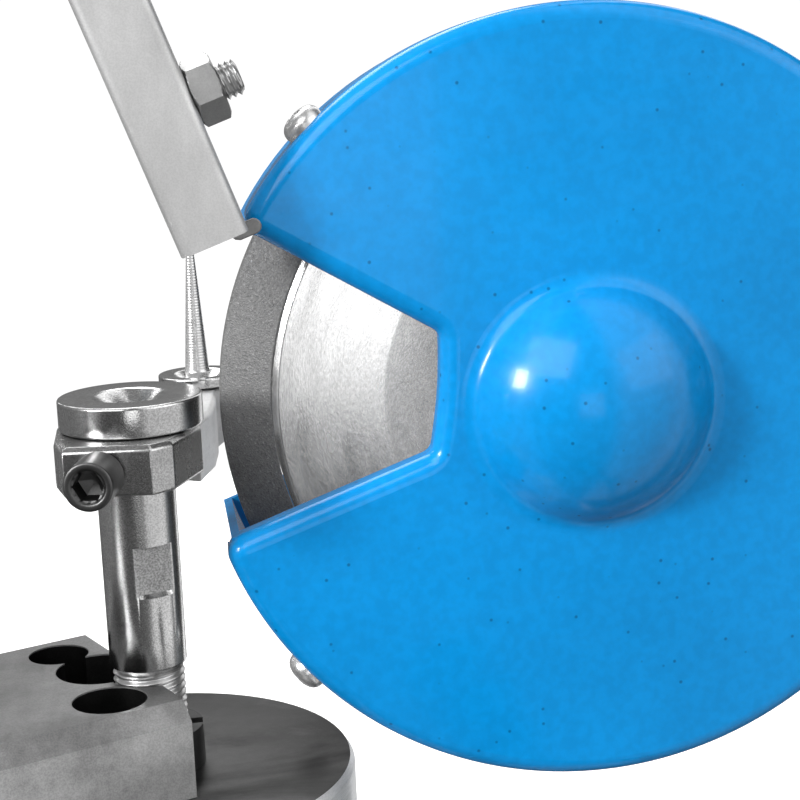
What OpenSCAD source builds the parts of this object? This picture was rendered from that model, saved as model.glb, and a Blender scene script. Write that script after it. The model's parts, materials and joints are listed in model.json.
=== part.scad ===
// Bench grinder for saw blades and tools: dish wheel under a notched round guard, tilting motor head
// on a lever-fed carriage, round work column with blade rest, and an index arm. Millimetres, +Z up.
// The origin is the centre of the four base bolts, on the bench. +X is right, -Y faces the user.

/* [Wheel] */
// Outside radius of the dish wheel
wheel_r = 62.5; // [61:0.5:63.5]
// Radius where the abrasive rim meets the metal dish
rim_in_r = 53.8; // [50:0.2:56]
// Radius of the flat hub face
hub_r = 34.4; // [30:0.2:40]
// Bore radius of the wheel
bore_r = 10; // [8:0.5:10]

/* [Guard] */
// Outside radius of the front guard cover
guard_r = 67.2; // [67:0.1:69]
// Radius of the dome over the wheel nut
dome_r = 21; // [19:0.5:23]
// How far the dome stands out of the cover
dome_h = 12; // [9:0.5:14]
// Depth of the guard drum behind the cover
drum_d = 30; // [28:0.5:32]
// Sheet thickness of the guard
sheet = 1.5; // [1:0.1:2]

/* [Layout] */
// Height of the wheel axis over the bench
axis_z = 200; // [195:1:210]
// Wheel axis, to the right of the origin
axis_x = 58; // [56:1:60]
// Front face of the guard, in front of the origin
front_y = -70; // [-72:1:-68]
// Distance from the wheel axis to the work column, along X
column_off = 77.8; // [77:0.2:79]

/* [Column and rest] */
// Radius of the round column
column_r = 34; // [32:0.5:34]
// How far the column's top is below the wheel axis
column_drop = 57; // [57:0.5:59]
// Radius of the polished post
post_r = 6.45; // [6:0.05:6.6]
// Radius of the countersunk rest ring
rest_r = 11.8; // [11:0.1:12.5]
// Radius of the stop ring behind the wheel
stop_r = 7.5; // [7:0.1:8]

/* [Motor] */
// Outside radius of the motor housing
motor_r = 46; // [45:0.5:47]
// Length of the motor housing
motor_len = 96; // [94:1:100]

/* [Hidden] */
$fn = 96;
eps = 0.01;            // overcut that keeps boolean faces apart
run = 0.05;            // running clearance of a shaft in a hole
wheel_c = [axis_x, front_y, axis_z];
column_c = [axis_x - column_off, front_y, axis_z];

// Wheel stack, measured along Y from the guard's front face
hub_y = 12.2;
rim_y = 13.8;
edge_y = 18.6;
wheel_back_y = 21.5;
hub_back_y = 20.5;
shaft_r = 7.5;
spindle_r = 10 - run;
bearing_r = 17.5;
bell_y = 38;
housing_y = 50;
housing_end_y = housing_y + motor_len;
rear_end_y = housing_end_y + 10;
cover_end_y = rear_end_y + 26;
core_y = 72;
core_len = 52;
stator_r = 38;
rotor_r = 23.5;
box_top_z = -48;

// Notch in the guard: corners seen from the front, relative to the wheel axis
notch_top = [-25.8, 13.6];
notch_low = [-27.6, -7.0];
notch_top_out = [-92.6, 53.6];
notch_low_out = [-96, -31.3];
screw_angles = [133.6, 221.5, 0];

// Base
base_x0 = -150;
base_x1 = 158;
base_y0 = -120;
base_y1 = 116;
base_h = 40;
base_wall = 8;
bolt_dx = 272;
bolt_dy = 200;
bolt_r = 4.5;
boss_r = 13;
rod_boss_r = 16;
rib_y = 24;             // from the carriage way to the shaft's rear rib
shaft_way_r = 7;        // groove that clears the pinion shaft
tooth_gap = 2.2;        // room under the base's top for the rack's tooth tips
foot_r = 45;
foot_screw_at = 39.5;
way_h = 12;
way_y = -2;
way_w = 66;
carriage_z = base_h + way_h;
carriage_h = 9;
carriage_x0 = 62;
carriage_x1 = 152;
carriage_y0 = -46;
carriage_y1 = 42;
column_top = axis_z - column_drop;
rod_r = 8;
rod_off = 118;
rod_x = axis_x - rod_off;
rod_y = front_y + 60;
cross_z = axis_z + 112;
cross_r = 6;

// Feed gear
gear_m = 1.5;
gear_n = 16;
gear_r = gear_m * gear_n / 2;
gear_x = 107;
gear_z = 28;
rack_pitch_z = gear_z + gear_r;
rack_w = 12;
lever_y = base_y0 - 6;
lever_angle = 122;

// Holed block, in a frame turned about the column axis
block_turn = 24;
block_x0 = -64;
block_x1 = -0.7;
block_y0 = -17.4;
block_y1 = 27.8;
block_z = -41;
stud_r = 5.8;
rail_len = 185;
rail_y = 5;
rail_w = 24;
rail_h = 10;
slider_x = -125;

// Rest arm, relative to the column axis and the wheel axis height
rest_z = 7;
rest_h = 5.2;
arm_top = rest_z - rest_h;
arm_h = 10.2;
block_h = 8.1;
screw_lean = 13;
stop_at = [12.4, 33];
stop_z = 4;
post_low = -39.5;

// Index arm
bar_w = 11.6;
bar_t = 1.4;
bar_depth = 11;
bar_end = [-62.6, -8, 31.4];
bar_lean = -19.9;
bar_len = 94;
pivot_s = 85.7;
bolt_s = 22.6;
bolt_y = 5.6;

// Tilt pivot of the head
tilt_y = 20;
tilt_x = 76;
plate_t = 9;
bracket_x = tilt_x + plate_t + 0.6;
bracket_t = 12;

module along_y(y0, y1, r) {
    translate([0, y1, 0]) rotate([90, 0, 0]) cylinder(h = y1 - y0, r = r);
}

// Revolves a profile of [radius, y] points about the wheel axis
module turned_y(points) {
    rotate([90, 0, 0]) rotate_extrude() polygon([for (p = points) [p[0], -p[1]]]);
}

module ring_y(y0, y1, r_out, r_in) {
    turned_y([[r_in, y0], [r_out, y0], [r_out, y1], [r_in, y1]]);
}

module rounded_plate(size, r) {
    linear_extrude(size[2]) translate([r, r])
        offset(r = r, $fn = 32) square([size[0] - 2 * r, size[1] - 2 * r]);
}

module at_wheel() { translate(wheel_c) children(); }

module at_column() { translate(column_c) children(); }

module at_block() { at_column() rotate([0, 0, block_turn]) children(); }

module at_bar() {
    at_wheel() translate(bar_end) rotate([0, bar_lean, 0]) children();
}

module at_tilt() { at_wheel() translate([tilt_x, tilt_y, 0]) children(); }

module socket_screw(r, length, head_r, head_h) {
    difference() {
        union() {
            cylinder(h = head_h, r = head_r);
            translate([0, 0, -length]) cylinder(h = length + eps, r = r);
        }
        translate([0, 0, head_h * 0.45]) cylinder(h = head_h, r = head_r * 0.55, $fn = 6);
    }
}

// ---- base ----

module base_casting() {
    color("slategray") difference() {
        union() {
            translate([base_x0, base_y0, 0])
                rounded_plate([base_x1 - base_x0, base_y1 - base_y0, base_h], 14);
            translate([carriage_x0 - 30, way_y - way_w / 2, base_h - eps])
                cube([base_x1 - carriage_x0 + 26, way_w, way_h + eps]);
            translate([rod_x, rod_y, base_h - eps]) cylinder(h = 20, r = rod_boss_r);
        }
        difference() {
            translate([base_x0 + base_wall, base_y0 + base_wall, -eps])
                cube([
                    base_x1 - base_x0 - 2 * base_wall,
                    base_y1 - base_y0 - 2 * base_wall,
                    base_h - base_wall
                ]);
            for (sx = [-1, 1], sy = [-1, 1])
                translate([sx * bolt_dx / 2, sy * bolt_dy / 2, 0]) cylinder(h = base_h, r = boss_r);
            translate([column_c[0], column_c[1], 0]) cylinder(h = base_h, r = foot_r);
            translate([rod_x, rod_y, 0]) cylinder(h = base_h, r = rod_boss_r);
            translate([gear_x - 14, base_y0, 0]) cube([28, 30, base_h]);
            translate([gear_x - 12, way_y - rib_y, 8]) cube([24, 10, base_h]);
        }
        for (sx = [-1, 1], sy = [-1, 1])
            translate([sx * bolt_dx / 2, sy * bolt_dy / 2, -eps]) cylinder(h = base_h + 1, r = bolt_r);
        translate([carriage_x0 - 40, way_y - rack_w / 2 - 1, base_h - tooth_gap])
            cube([140, rack_w + 2, way_h + tooth_gap + 1]);
        translate([gear_x - gear_r - 3, way_y - rack_w / 2 - 1, base_h - base_wall - 1])
            cube([2 * gear_r + 6, rack_w + 2, base_wall + 2]);
        for (s = [-1, 1])
            translate([carriage_x0 - 40, way_y + s * way_w / 2 - 3, base_h + 2]) cube([150, 6, 4]);
        translate([rod_x, rod_y, 6]) cylinder(h = base_h + 20, r = rod_r);
        translate([gear_x, base_y0 + 40, gear_z]) rotate([90, 0, 0]) cylinder(h = 50, r = 9);
        translate([gear_x, way_y, gear_z]) rotate([90, 0, 0]) cylinder(h = 40, r = 6 + run);
        translate([gear_x, way_y - rib_y - 1, gear_z]) rotate([90, 0, 0])
            cylinder(h = way_y - base_y0 - rib_y - 40, r = shaft_way_r);
        for (a = [45:90:315])
            translate([column_c[0], column_c[1], base_h - 20]) rotate([0, 0, a])
                translate([foot_screw_at, 0, 0]) cylinder(h = 30, r = 2.5);
    }
}

module column() {
    color("gainsboro") translate([column_c[0], column_c[1], 0]) difference() {
        union() {
            translate([0, 0, base_h]) cylinder(h = 10, r = foot_r);
            translate([0, 0, base_h]) cylinder(h = column_top - base_h - 1, r = column_r);
            translate([0, 0, column_top - 1]) cylinder(h = 1, r1 = column_r, r2 = column_r - 0.8);
        }
        translate([0, 0, column_top - 30]) cylinder(h = 31, r = stud_r);
        for (a = [45:90:315])
            rotate([0, 0, a]) translate([foot_screw_at, 0, base_h - 1]) cylinder(h = 12, r = 2.8);
    }
}

module column_screws() {
    color("dimgray") translate([column_c[0], column_c[1], base_h + 10])
        for (a = [45:90:315])
            rotate([0, 0, a]) translate([foot_screw_at, 0, 0]) socket_screw(2.5, 24, 4.3, 5);
}

module post() {
    color("lightgray") at_column() difference() {
        union() {
            translate([0, 0, -column_drop - 28]) cylinder(h = 28 + column_drop + post_low, r = stud_r);
            for (z = [post_low - 8.75:1.75:post_low - 1.75])
                translate([0, 0, z]) rotate_extrude()
                    polygon([[5, -0.7], [stud_r, -0.7], [stud_r + 0.35, 0], [stud_r, 0.7], [5, 0.7]]);
            translate([0, 0, post_low]) cylinder(h = 1.2, r1 = post_r - 1, r2 = post_r);
            translate([0, 0, post_low + 1.2]) cylinder(h = arm_top - post_low - 1.2 - 0.05, r = post_r);
        }
        for (a = [0, 180])
            rotate([0, 0, 21 + a]) translate([-10, -20 - 5.5, -25.4]) cube([20, 20, 8]);
    }
}

module lock_collar() {
    color("dimgray") at_column() translate([0, 0, -column_drop]) difference() {
        cylinder(h = 7, r = 8.5);
        translate([0, 0, -1]) cylinder(h = 9, r = stud_r);
        for (a = [0, 90]) rotate([0, 0, a]) translate([-10, -1.2, 5]) cube([20, 2.4, 4]);
    }
}

module support_rod() {
    color("lightgray") translate([rod_x, rod_y, 6]) cylinder(h = cross_z + 4 - 6, r = rod_r);
}

module cross_clamp() {
    color("dimgray") difference() {
        union() {
            translate([rod_x - 14, rod_y - 13, cross_z - 30]) cube([28, 26, 26]);
            translate([rod_x - 10, rod_y - 13, cross_z - 14]) cube([20, 26, 26]);
        }
        translate([rod_x, rod_y, cross_z - 40]) cylinder(h = 60, r = rod_r);
        translate([rod_x, rod_y + 20, cross_z]) rotate([90, 0, 0]) cylinder(h = 60, r = cross_r);
        translate([rod_x - 20, rod_y - 0.8, cross_z - 31]) cube([12, 1.6, 28]);
    }
}

module cross_rod() {
    color("lightgray") translate([rod_x, rod_y - rod_r - 0.2, cross_z]) rotate([90, 0, 0])
        cylinder(h = 66, r = cross_r);
}

module arm_bracket() {
    color("dimgray") at_wheel() difference() {
        union() {
            translate([-rod_off, 14, 112]) rotate([90, 0, 0]) cylinder(h = 10.9, r = 11);
            translate([-rod_off, 3.1, 103]) cube([34, 10.9, 18]);
        }
        translate([-rod_off, 20, 112]) rotate([90, 0, 0]) cylinder(h = 30, r = cross_r);
        translate([-91.8, 20, 112]) rotate([90, 0, 0]) cylinder(h = 30, r = 2.8 + run);
    }
}

module switch_box() {
    color("dimgray") translate([-70, base_y0 - 20, 6]) difference() {
        rotate([90, 0, 90]) linear_extrude(64) polygon([[0, 0], [20, 0], [20, 30], [4, 30], [0, 24]]);
        translate([2, 2, 2]) cube([60, 19, 22]);
        for (x = [18, 46]) translate([x, 5, 13]) rotate([90, 0, 0]) cylinder(h = 8, r = 7.6);
    }
}

module push_button(x) {
    translate([-70 + x, base_y0 - 20, 19]) rotate([90, 0, 0]) {
        translate([0, 0, -8]) cylinder(h = 12, r = 7.2);
        translate([0, 0, 4 - eps]) cylinder(h = 1, r1 = 7.2, r2 = 6.2);
    }
}

module start_button() { color("green") push_button(18); }

module stop_button() { color("red") push_button(46); }

module lever_bush() {
    color("goldenrod") translate([gear_x, base_y0 + 30, gear_z]) rotate([90, 0, 0]) difference() {
        union() {
            cylinder(h = 30, r = 9);
            translate([0, 0, 30]) cylinder(h = 3, r = 12);
        }
        translate([0, 0, -1]) cylinder(h = 40, r = 6 + run);
    }
}

// ---- holed block and blade carrier ----

module holed_block() {
    color("silver") at_block() difference() {
        translate([block_x0, 0, -column_drop + 0.1]) rotate([90, 0, 90]) linear_extrude(block_x1 - block_x0)
            polygon([
                [block_y0, 0], [block_y1, 0], [block_y1, 14.4], [block_y1 - 1.5, 15.9],
                [block_y0 + 3, 15.9], [block_y0, 12.9]
            ]);
        translate([-8.6, 19.2, -60]) cylinder(h = 30, r = 5.2);
        translate([-10.4, -7.4, -60]) cylinder(h = 30, r = 6.1);
        translate([-5.6, 7.6, -60]) cylinder(h = 30, r = 7.6);
        translate([0, 0, -60]) cylinder(h = 30, r = stud_r + 0.8);
        translate([0, 0, -60]) cylinder(h = 10.4, r = 9);
        for (x = [-38, -56]) translate([x, rail_y, -60]) cylinder(h = 30, r = 2.5);
    }
}

module block_screws() {
    color("dimgray") at_block() for (x = [-38, -56])
        translate([x, rail_y, block_z + rail_h - 5]) socket_screw(2.5, 16, 4.2, 4.8);
}

module blade_rail() {
    color("silver") at_block() difference() {
        translate([-rail_len - 30, rail_y - rail_w / 2, block_z]) cube([rail_len, rail_w, rail_h]);
        for (x = [-38, -56]) translate([x, rail_y, block_z - 1]) {
            cylinder(h = 20, r = 2.5);
            translate([0, 0, rail_h - 4]) cylinder(h = 20, r = 4.4);
        }
        for (x = [-200:10:-80]) translate([x, rail_y - rail_w / 2 - 1, block_z + 2]) cube([0.8, 2, 6]);
    }
}

module rail_stop() {
    color("dimgray") at_block() difference() {
        translate([-rail_len - 34, rail_y - rail_w / 2 - 2, block_z - 2]) cube([4, rail_w + 4, rail_h + 4]);
        translate([-rail_len - 40, rail_y, block_z + 5]) rotate([0, 90, 0]) cylinder(h = 20, r = 2);
    }
}

module blade_slider() {
    color("dimgray") at_block() translate([slider_x, rail_y, 0]) difference() {
        union() {
            translate([-20, -18, block_z - 7]) cube([40, 36, rail_h + 18]);
            translate([0, 0, block_z + rail_h + 10])
                cylinder(h = rest_z - 4 - block_z - rail_h - 10 + eps, r = 9);
            translate([0, 0, rest_z - 4]) cylinder(h = 4, r = 16);
            translate([0, 0, rest_z - eps]) cylinder(h = 14, r = 5);
        }
        translate([-21, -rail_w / 2 - 0.1, block_z - 0.1]) cube([42, rail_w + 0.2, rail_h + 0.2]);
        translate([-21, -rail_w / 2 + 3, block_z - 8]) cube([42, rail_w - 6, 9]);
        translate([0, -30, block_z + 5]) rotate([-90, 0, 0]) cylinder(h = 20, r = 3 + run);
    }
}

module knob(r, h, stem_r, stem) {
    difference() {
        union() {
            cylinder(h = h, r = r);
            translate([0, 0, h - eps]) cylinder(h = 3, r = r * 0.55);
            translate([0, 0, -stem]) cylinder(h = stem + 1, r = stem_r);
        }
        for (a = [30:60:330]) rotate([0, 0, a]) translate([r + 1.8, 0, -1]) cylinder(h = h + 2, r = 3.2);
    }
}

module slider_knob() {
    color("black") at_block() translate([slider_x, rail_y - 20, block_z + 5]) rotate([90, 0, 0])
        knob(10.5, 10, 3, 7.8);
}

module centring_cone() {
    color("lightgray") at_block() translate([slider_x, rail_y, rest_z + 0.1]) rotate_extrude()
        polygon([[5 + run, 0], [15, 0], [15, 1.5], [8, 9], [8, 11], [5 + run, 11]]);
}

module cone_nut() {
    color("black") at_block() translate([slider_x, rail_y, rest_z + 11.3]) difference() {
        knob(10.5, 7, 3, 0);
        translate([0, 0, -1]) cylinder(h = 3.9, r = 5 + run);
    }
}

// ---- rest arm ----

module at_clamp_screw() {
    translate([-5.2, -15.7, arm_top - block_h / 2 - 0.3]) rotate([90, 0, -screw_lean]) children();
}

module clamp_arm() {
    color("silver") at_column() difference() {
        union() {
            translate([0, 0, arm_top - block_h]) linear_extrude(block_h)
                polygon([
                    [-12.4, -7.5], [-10.9, -14.3], [2.9, -16.2], [6.4, -13.6],
                    [11.2, -2.5], [11.2, 6], [8.5, 9.5], [-9, 9.5], [-12.4, 5]
                ]);
            translate([0, 0, arm_top - arm_h]) linear_extrude(arm_h)
                polygon([
                    [7.6, 1], [10.8, -1], [13.6, 9], [14.5, 18],
                    [14.7, 24], [16.6, 31], [8, 33], [6, 20]
                ]);
            translate([stop_at[0], stop_at[1], arm_top - arm_h]) cylinder(h = arm_h, r = 5.6);
        }
        translate([0, 0, arm_top - arm_h - 1]) cylinder(h = arm_h + 2, r = post_r + run);
        at_clamp_screw() translate([0, 0, -12]) cylinder(h = 30, r = 2);
    }
}

module rest_ring() {
    color("lightgray") at_column() translate([0, 0, arm_top]) rotate_extrude()
        polygon([
            [2.1, 0], [rest_r, 0], [rest_r, rest_h - 0.5], [rest_r - 0.5, rest_h],
            [6.1, rest_h], [2.1, rest_h - 2.6]
        ]);
}

module stop_ring() {
    color("lightgray") at_column() translate([stop_at[0], stop_at[1], arm_top]) rotate_extrude()
        polygon([
            [0, 0], [5, 0], [5, 0.6], [stop_r, 0.6], [stop_r, 2],
            [stop_r - 0.3, stop_z - arm_top], [0, stop_z - arm_top]
        ]);
}

module stop_pin() {
    color("gainsboro") at_column() translate([stop_at[0] - 0.4, stop_at[1], stop_z]) rotate_extrude()
        polygon([[0, 0], [2.4, 0], [2.15, 1], [1.6, 9], [0.85, 21], [0.45, 29], [0, 29.4]]);
}

module clamp_screw() {
    color("dimgray") at_column() at_clamp_screw() {
        socket_screw(2, 7.6, 3.9, 7.6);
    }
}

// ---- index arm ----

module channel_bar() {
    color("silver") at_bar() difference() {
        translate([-bar_w / 2, 0, 0]) cube([bar_w, bar_depth, bar_len]);
        translate([-bar_w / 2 + bar_t, bar_t, -1]) cube([bar_w - 2 * bar_t, bar_depth, bar_len + 2]);
        translate([0, bolt_y, bolt_s]) rotate([0, 90, 0]) cylinder(h = 30, r = 2.9, center = true);
        translate([0, -1, pivot_s]) rotate([-90, 0, 0]) cylinder(h = 5, r = 2.9);
        translate([bar_w / 2 - 3, bar_t, -1]) cube([5, 10, 4.4]);
    }
}

module arm_pivot_bolt() {
    color("dimgray") at_bar() translate([0, -0.2, pivot_s]) rotate([90, 0, 0]) {
        knob(9.5, 7, 2.8, 18);
    }
}

module pawl_bolt() {
    color("lightgray") at_bar() translate([0, bolt_y, bolt_s]) rotate([0, 90, 0]) {
        translate([0, 0, -bar_w / 2]) cylinder(h = bar_w + 8.4, r = 2.8);
    }
}

module pawl_nut() {
    color("lightgray") at_bar() translate([bar_w / 2, bolt_y, bolt_s]) rotate([0, 90, 0])
        difference() {
            cylinder(h = 4.6, r = 5.6, $fn = 6);
            translate([0, 0, -1]) cylinder(h = 7, r = 2.8);
        }
}

module pawl() {
    color("dimgray") at_bar() difference() {
        union() {
            translate([-3.8, bolt_y, bolt_s]) rotate([0, 90, 0]) cylinder(h = 7.6, r = 4);
            translate([-3.8, bolt_y - 0.7, 0.2]) cube([7.6, 1.4, bolt_s]);
            translate([3, bolt_y - 0.7, -1.4]) cube([4.9, 1.4, 2.4]);
        }
        translate([-5, bolt_y, bolt_s]) rotate([0, 90, 0]) cylinder(h = 10, r = 2.8 + run);
    }
}

// ---- carriage and feed ----

module carriage() {
    color("slategray") difference() {
        translate([carriage_x0, carriage_y0, carriage_z + 0.1])
            cube([carriage_x1 - carriage_x0, carriage_y1 - carriage_y0, carriage_h]);
        for (x = [carriage_x0 + 10, carriage_x1 - 10])
            translate([x, way_y, carriage_z - 1]) cylinder(h = 20, r = 2);
    }
    color("slategray") for (s = [-1, 1])
        translate([carriage_x0, way_y + s * (way_w / 2 + 5.2), carriage_z - 9.8]) {
            translate([0, -5, 0]) cube([carriage_x1 - carriage_x0, 10, 10]);
            translate([0, -s * 6 - 1.8, 0.1]) cube([carriage_x1 - carriage_x0, 3.6, 3.5]);
        }
}

function tooth_half(z) = gear_m * PI / 4 - 0.12 - z * tan(20);

module feed_rack() {
    color("dimgray") translate([carriage_x0, way_y + rack_w / 2 - 1, rack_pitch_z]) rotate([90, 0, 0])
        linear_extrude(rack_w - 2) difference() {
            union() {
                translate([0, 1.9]) square([carriage_x1 - carriage_x0, carriage_z - rack_pitch_z - 1.8]);
                for (k = [-9:7]) translate([gear_x - carriage_x0 + (k + 0.5) * gear_m * PI, 0])
                    polygon([
                        [-tooth_half(-2), 2], [-tooth_half(1.3), -1.3],
                        [tooth_half(1.3), -1.3], [tooth_half(-2), 2]
                    ]);
            }
        }
}

function involute(rb, t) = [rb * (cos(t) + t * PI / 180 * sin(t)), rb * (sin(t) - t * PI / 180 * cos(t))];

module gear_tooth() {
    rb = gear_r * cos(20);
    half = 90 / gear_n;
    flank = [for (t = [0:6:42]) involute(rb, t)];
    polygon(concat(
        [[0, 0]],
        [for (p = flank) [p[0] * cos(-half) - p[1] * sin(-half), p[0] * sin(-half) + p[1] * cos(-half)]],
        [for (i = [len(flank) - 1:-1:0]) let (p = [flank[i][0], -flank[i][1]])
            [p[0] * cos(half) - p[1] * sin(half), p[0] * sin(half) + p[1] * cos(half)]]
    ));
}

module pinion_shaft() {
    color("lightgray") translate([gear_x, way_y + rack_w / 2, gear_z]) rotate([90, 0, 0]) {
        linear_extrude(rack_w) intersection() {
            circle(r = gear_r + 1.2);
            union() {
                circle(r = gear_r - 2.1);
                for (i = [0:gear_n - 1]) rotate(i * 360 / gear_n + 90) gear_tooth();
            }
        }
        cylinder(h = way_y + rack_w / 2 - lever_y + 20, r = 6);
    }
}

module feed_lever() {
    color("dimgray") translate([gear_x, lever_y, gear_z]) rotate([90, 0, 0]) difference() {
        union() {
            cylinder(h = 16, r = 12);
            translate([0, 0, 8]) rotate([0, 90, lever_angle]) cylinder(h = 96, r = 5);
        }
        translate([0, 0, -1]) cylinder(h = 30, r = 6);
    }
}

module lever_grip() {
    color("black") translate([gear_x, lever_y - 8, gear_z]) rotate([90, 0, 0])
        rotate([0, 90, lever_angle]) translate([0, 0, 96]) rotate_extrude()
            polygon([[0, 0], [6, 0], [8, 6], [10, 22], [9.4, 30], [6, 34.5], [0, 36]]);
}

module head_bracket() {
    color("slategray") difference() {
        union() {
            translate([carriage_x0 + 10, carriage_y0, carriage_z + carriage_h + 0.1])
                cube([carriage_x1 - carriage_x0 - 10, carriage_y1 - carriage_y0, 10]);
            hull() {
                translate([axis_x + bracket_x, carriage_y0, carriage_z + carriage_h + 0.1])
                    cube([bracket_t, carriage_y1 - carriage_y0, 10]);
                translate([axis_x + bracket_x, front_y + tilt_y, axis_z]) rotate([0, 90, 0])
                    cylinder(h = bracket_t, r = 30, $fn = 48);
            }
        }
        translate([axis_x + bracket_x - 1, front_y + tilt_y, axis_z]) rotate([0, 90, 0])
            cylinder(h = 30, r = 8 + run);
        for (y = [carriage_y0 + 12, carriage_y1 - 12]) translate([carriage_x0 + 22, y, 60])
            cylinder(h = 30, r = 3);
    }
}

module bracket_screws() {
    color("dimgray") for (y = [carriage_y0 + 12, carriage_y1 - 12])
        translate([carriage_x0 + 22, y, carriage_z + carriage_h + 10.1]) socket_screw(3, 9.8, 5, 6);
}

// ---- motor head ----

module notch_cut(extra) {
    translate([0, 60, 0]) rotate([90, 0, 0]) linear_extrude(100)
        offset(r = 4 + extra, $fn = 32) offset(delta = -4)
            polygon([notch_top_out, notch_top, notch_low, notch_low_out]);
}

module rim_screw_holes(from_r) {
    for (a = screw_angles) rotate([0, -a, 0]) translate([from_r, 6, 0]) rotate([0, 90, 0])
        cylinder(h = 20, r = 2);
}

module cap_profile(r, h, t) {
    sphere_r = (r * r + h * h) / (2 * h);
    rotate([90, 0, 0]) rotate_extrude() difference() {
        union() {
            intersection() {
                translate([0, -sphere_r + h]) circle(r = sphere_r);
                translate([0, -sheet]) square([r + 1, h + sheet + 1]);
            }
            translate([0, -sheet]) square([r + 2, sheet]);
        }
        translate([0, -sphere_r + h]) circle(r = sphere_r - t);
        translate([-200, -50]) square([200, 100]);
    }
}

module guard_cover() {
    color("dodgerblue") at_wheel() difference() {
        union() {
            cap_profile(dome_r, dome_h, sheet);
            turned_y(concat(
                [[dome_r, 0]],
                [for (a = [90:-15:0]) [guard_r - 3 + 3 * cos(a), 3 - 3 * sin(a)]],
                [[guard_r, 9], [guard_r - sheet, 9]],
                [for (a = [0:15:90]) [guard_r - 3 + 1.5 * cos(a), 3 - 1.5 * sin(a)]],
                [[dome_r, sheet]]
            ));
            intersection() {
                along_y(0.2, 9, guard_r - 2 * sheet - 0.5);
                notch_cut(sheet);
                translate([-100, 0, -100]) cube([200, 6, 200]);
            }
        }
        notch_cut(0);
        rim_screw_holes(60);
    }
}

module guard_shell() {
    color("steelblue") at_wheel() difference() {
        union() {
            ring_y(2.5, drum_d, guard_r - sheet - 0.2, guard_r - 2 * sheet - 0.2);
            ring_y(drum_d - sheet, drum_d, guard_r - sheet - 0.2, 17);
            for (a = screw_angles) rotate([0, -a, 0]) translate([guard_r - 3.7, 6, 0]) rotate([0, 90, 0])
                cylinder(h = 1.4, r = 4);
        }
        intersection() {
            notch_cut(0);
            union() {
                translate([-100, -10, -100]) cube([100, drum_d - sheet + 10, 200]);
                translate([-100, -10, -100]) cube([52, drum_d + 20, 200]);
            }
        }
        rim_screw_holes(55);
        for (a = [45:90:315]) rotate([0, a, 0]) translate([28, 0, 0]) along_y(drum_d - 5, drum_d + 5, 2.2);
    }
}

module cover_screws() {
    color("gainsboro") at_wheel() for (a = screw_angles)
        rotate([0, -a, 0]) translate([guard_r - 0.02, 6, 0]) rotate([0, 90, 0]) difference() {
            union() {
                rotate_extrude() polygon([[0, 0], [3.6, 0], [3.5, 0.8], [2.6, 2], [1.2, 2.5], [0, 2.6]]);
                translate([0, 0, -3.6]) cylinder(h = 4, r = 2);
            }
            translate([-0.5, -5, 1.4]) cube([1, 10, 3]);
        }
}

module front_bell() {
    color("slategray") at_wheel() difference() {
        union() {
            turned_y([
                [bearing_r, drum_d], [34, drum_d], [34, drum_d + 5], [motor_r - 4, bell_y + 6],
                [motor_r, bell_y + 9], [motor_r, housing_y], [motor_r - 4, housing_y],
                [motor_r - 5, bell_y + 11], [24, bell_y + 11],
                [24, housing_y + 4], [bearing_r, housing_y + 4]
            ]);
        }
        for (a = [45:90:315]) rotate([0, a, 0]) translate([28, 0, 0]) along_y(drum_d - 1, drum_d + 8, 2.2);
    }
}

module motor_housing() {
    color("slategray") at_wheel() difference() {
        union() {
            ring_y(housing_y, housing_end_y, motor_r - 4, stator_r);
            for (a = [135:15:300]) rotate([0, a, 0])
                translate([motor_r - 5, housing_y + 4, -1]) cube([5, motor_len - 8, 2]);
            translate([20, housing_y + 4, -28]) cube([45, motor_len - 24, 56]);
            translate([-26, housing_y + 8, box_top_z]) cube([52, 64, 14]);
        }
        along_y(housing_y - 1, housing_end_y + 1, stator_r);
    }
}

module rear_bell() {
    color("slategray") at_wheel() turned_y([
        [14, housing_end_y - 6], [20, housing_end_y - 6], [20, housing_end_y], [motor_r, housing_end_y],
        [motor_r, rear_end_y], [14, rear_end_y]
    ]);
}

module fan_cover() {
    color("dimgray") at_wheel() difference() {
        turned_y([
            [motor_r - sheet, rear_end_y], [motor_r, rear_end_y],
            [motor_r, cover_end_y - 4], [motor_r - 4, cover_end_y],
            [0, cover_end_y], [0, cover_end_y - sheet],
            [motor_r - 5, cover_end_y - sheet], [motor_r - sheet, cover_end_y - 5]
        ]);
        for (r = [14, 23, 32], a = [0:30:330]) rotate([0, a, 0]) translate([r, 0, 0])
            along_y(cover_end_y - 6, cover_end_y + 1, 2.6);
    }
}

module stator_core() {
    color("dimgray") at_wheel() ring_y(core_y, core_y + core_len, stator_r, rotor_r + 0.5);
}

module windings() {
    color("chocolate") at_wheel() for (y = [core_y - 13, core_y + core_len + 1])
        turned_y([[26, y], [35, y], [36.5, y + 3], [36.5, y + 12], [26, y + 12]]);
}

module front_bearing() {
    color("gainsboro") at_wheel() ring_y(housing_y - 10, housing_y + 1, bearing_r, shaft_r + run);
}

module rear_bearing() {
    color("gainsboro") at_wheel() ring_y(housing_end_y - 4, housing_end_y + 5, 14, 6 + run);
}

module tilt_plate() {
    color("slategray") at_wheel() difference() {
        union() {
            translate([tilt_x - 11, housing_y + 8, -26]) cube([11 + plate_t, 60, 52]);
            hull() {
                translate([tilt_x, tilt_y, 0]) rotate([0, 90, 0]) cylinder(h = plate_t, r = 28, $fn = 48);
                translate([tilt_x, housing_y + 8, -26]) cube([plate_t, 20, 52]);
            }
        }
        translate([tilt_x - 1, tilt_y, 0]) rotate([0, 90, 0]) cylinder(h = 30, r = 8);
    }
}

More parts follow.
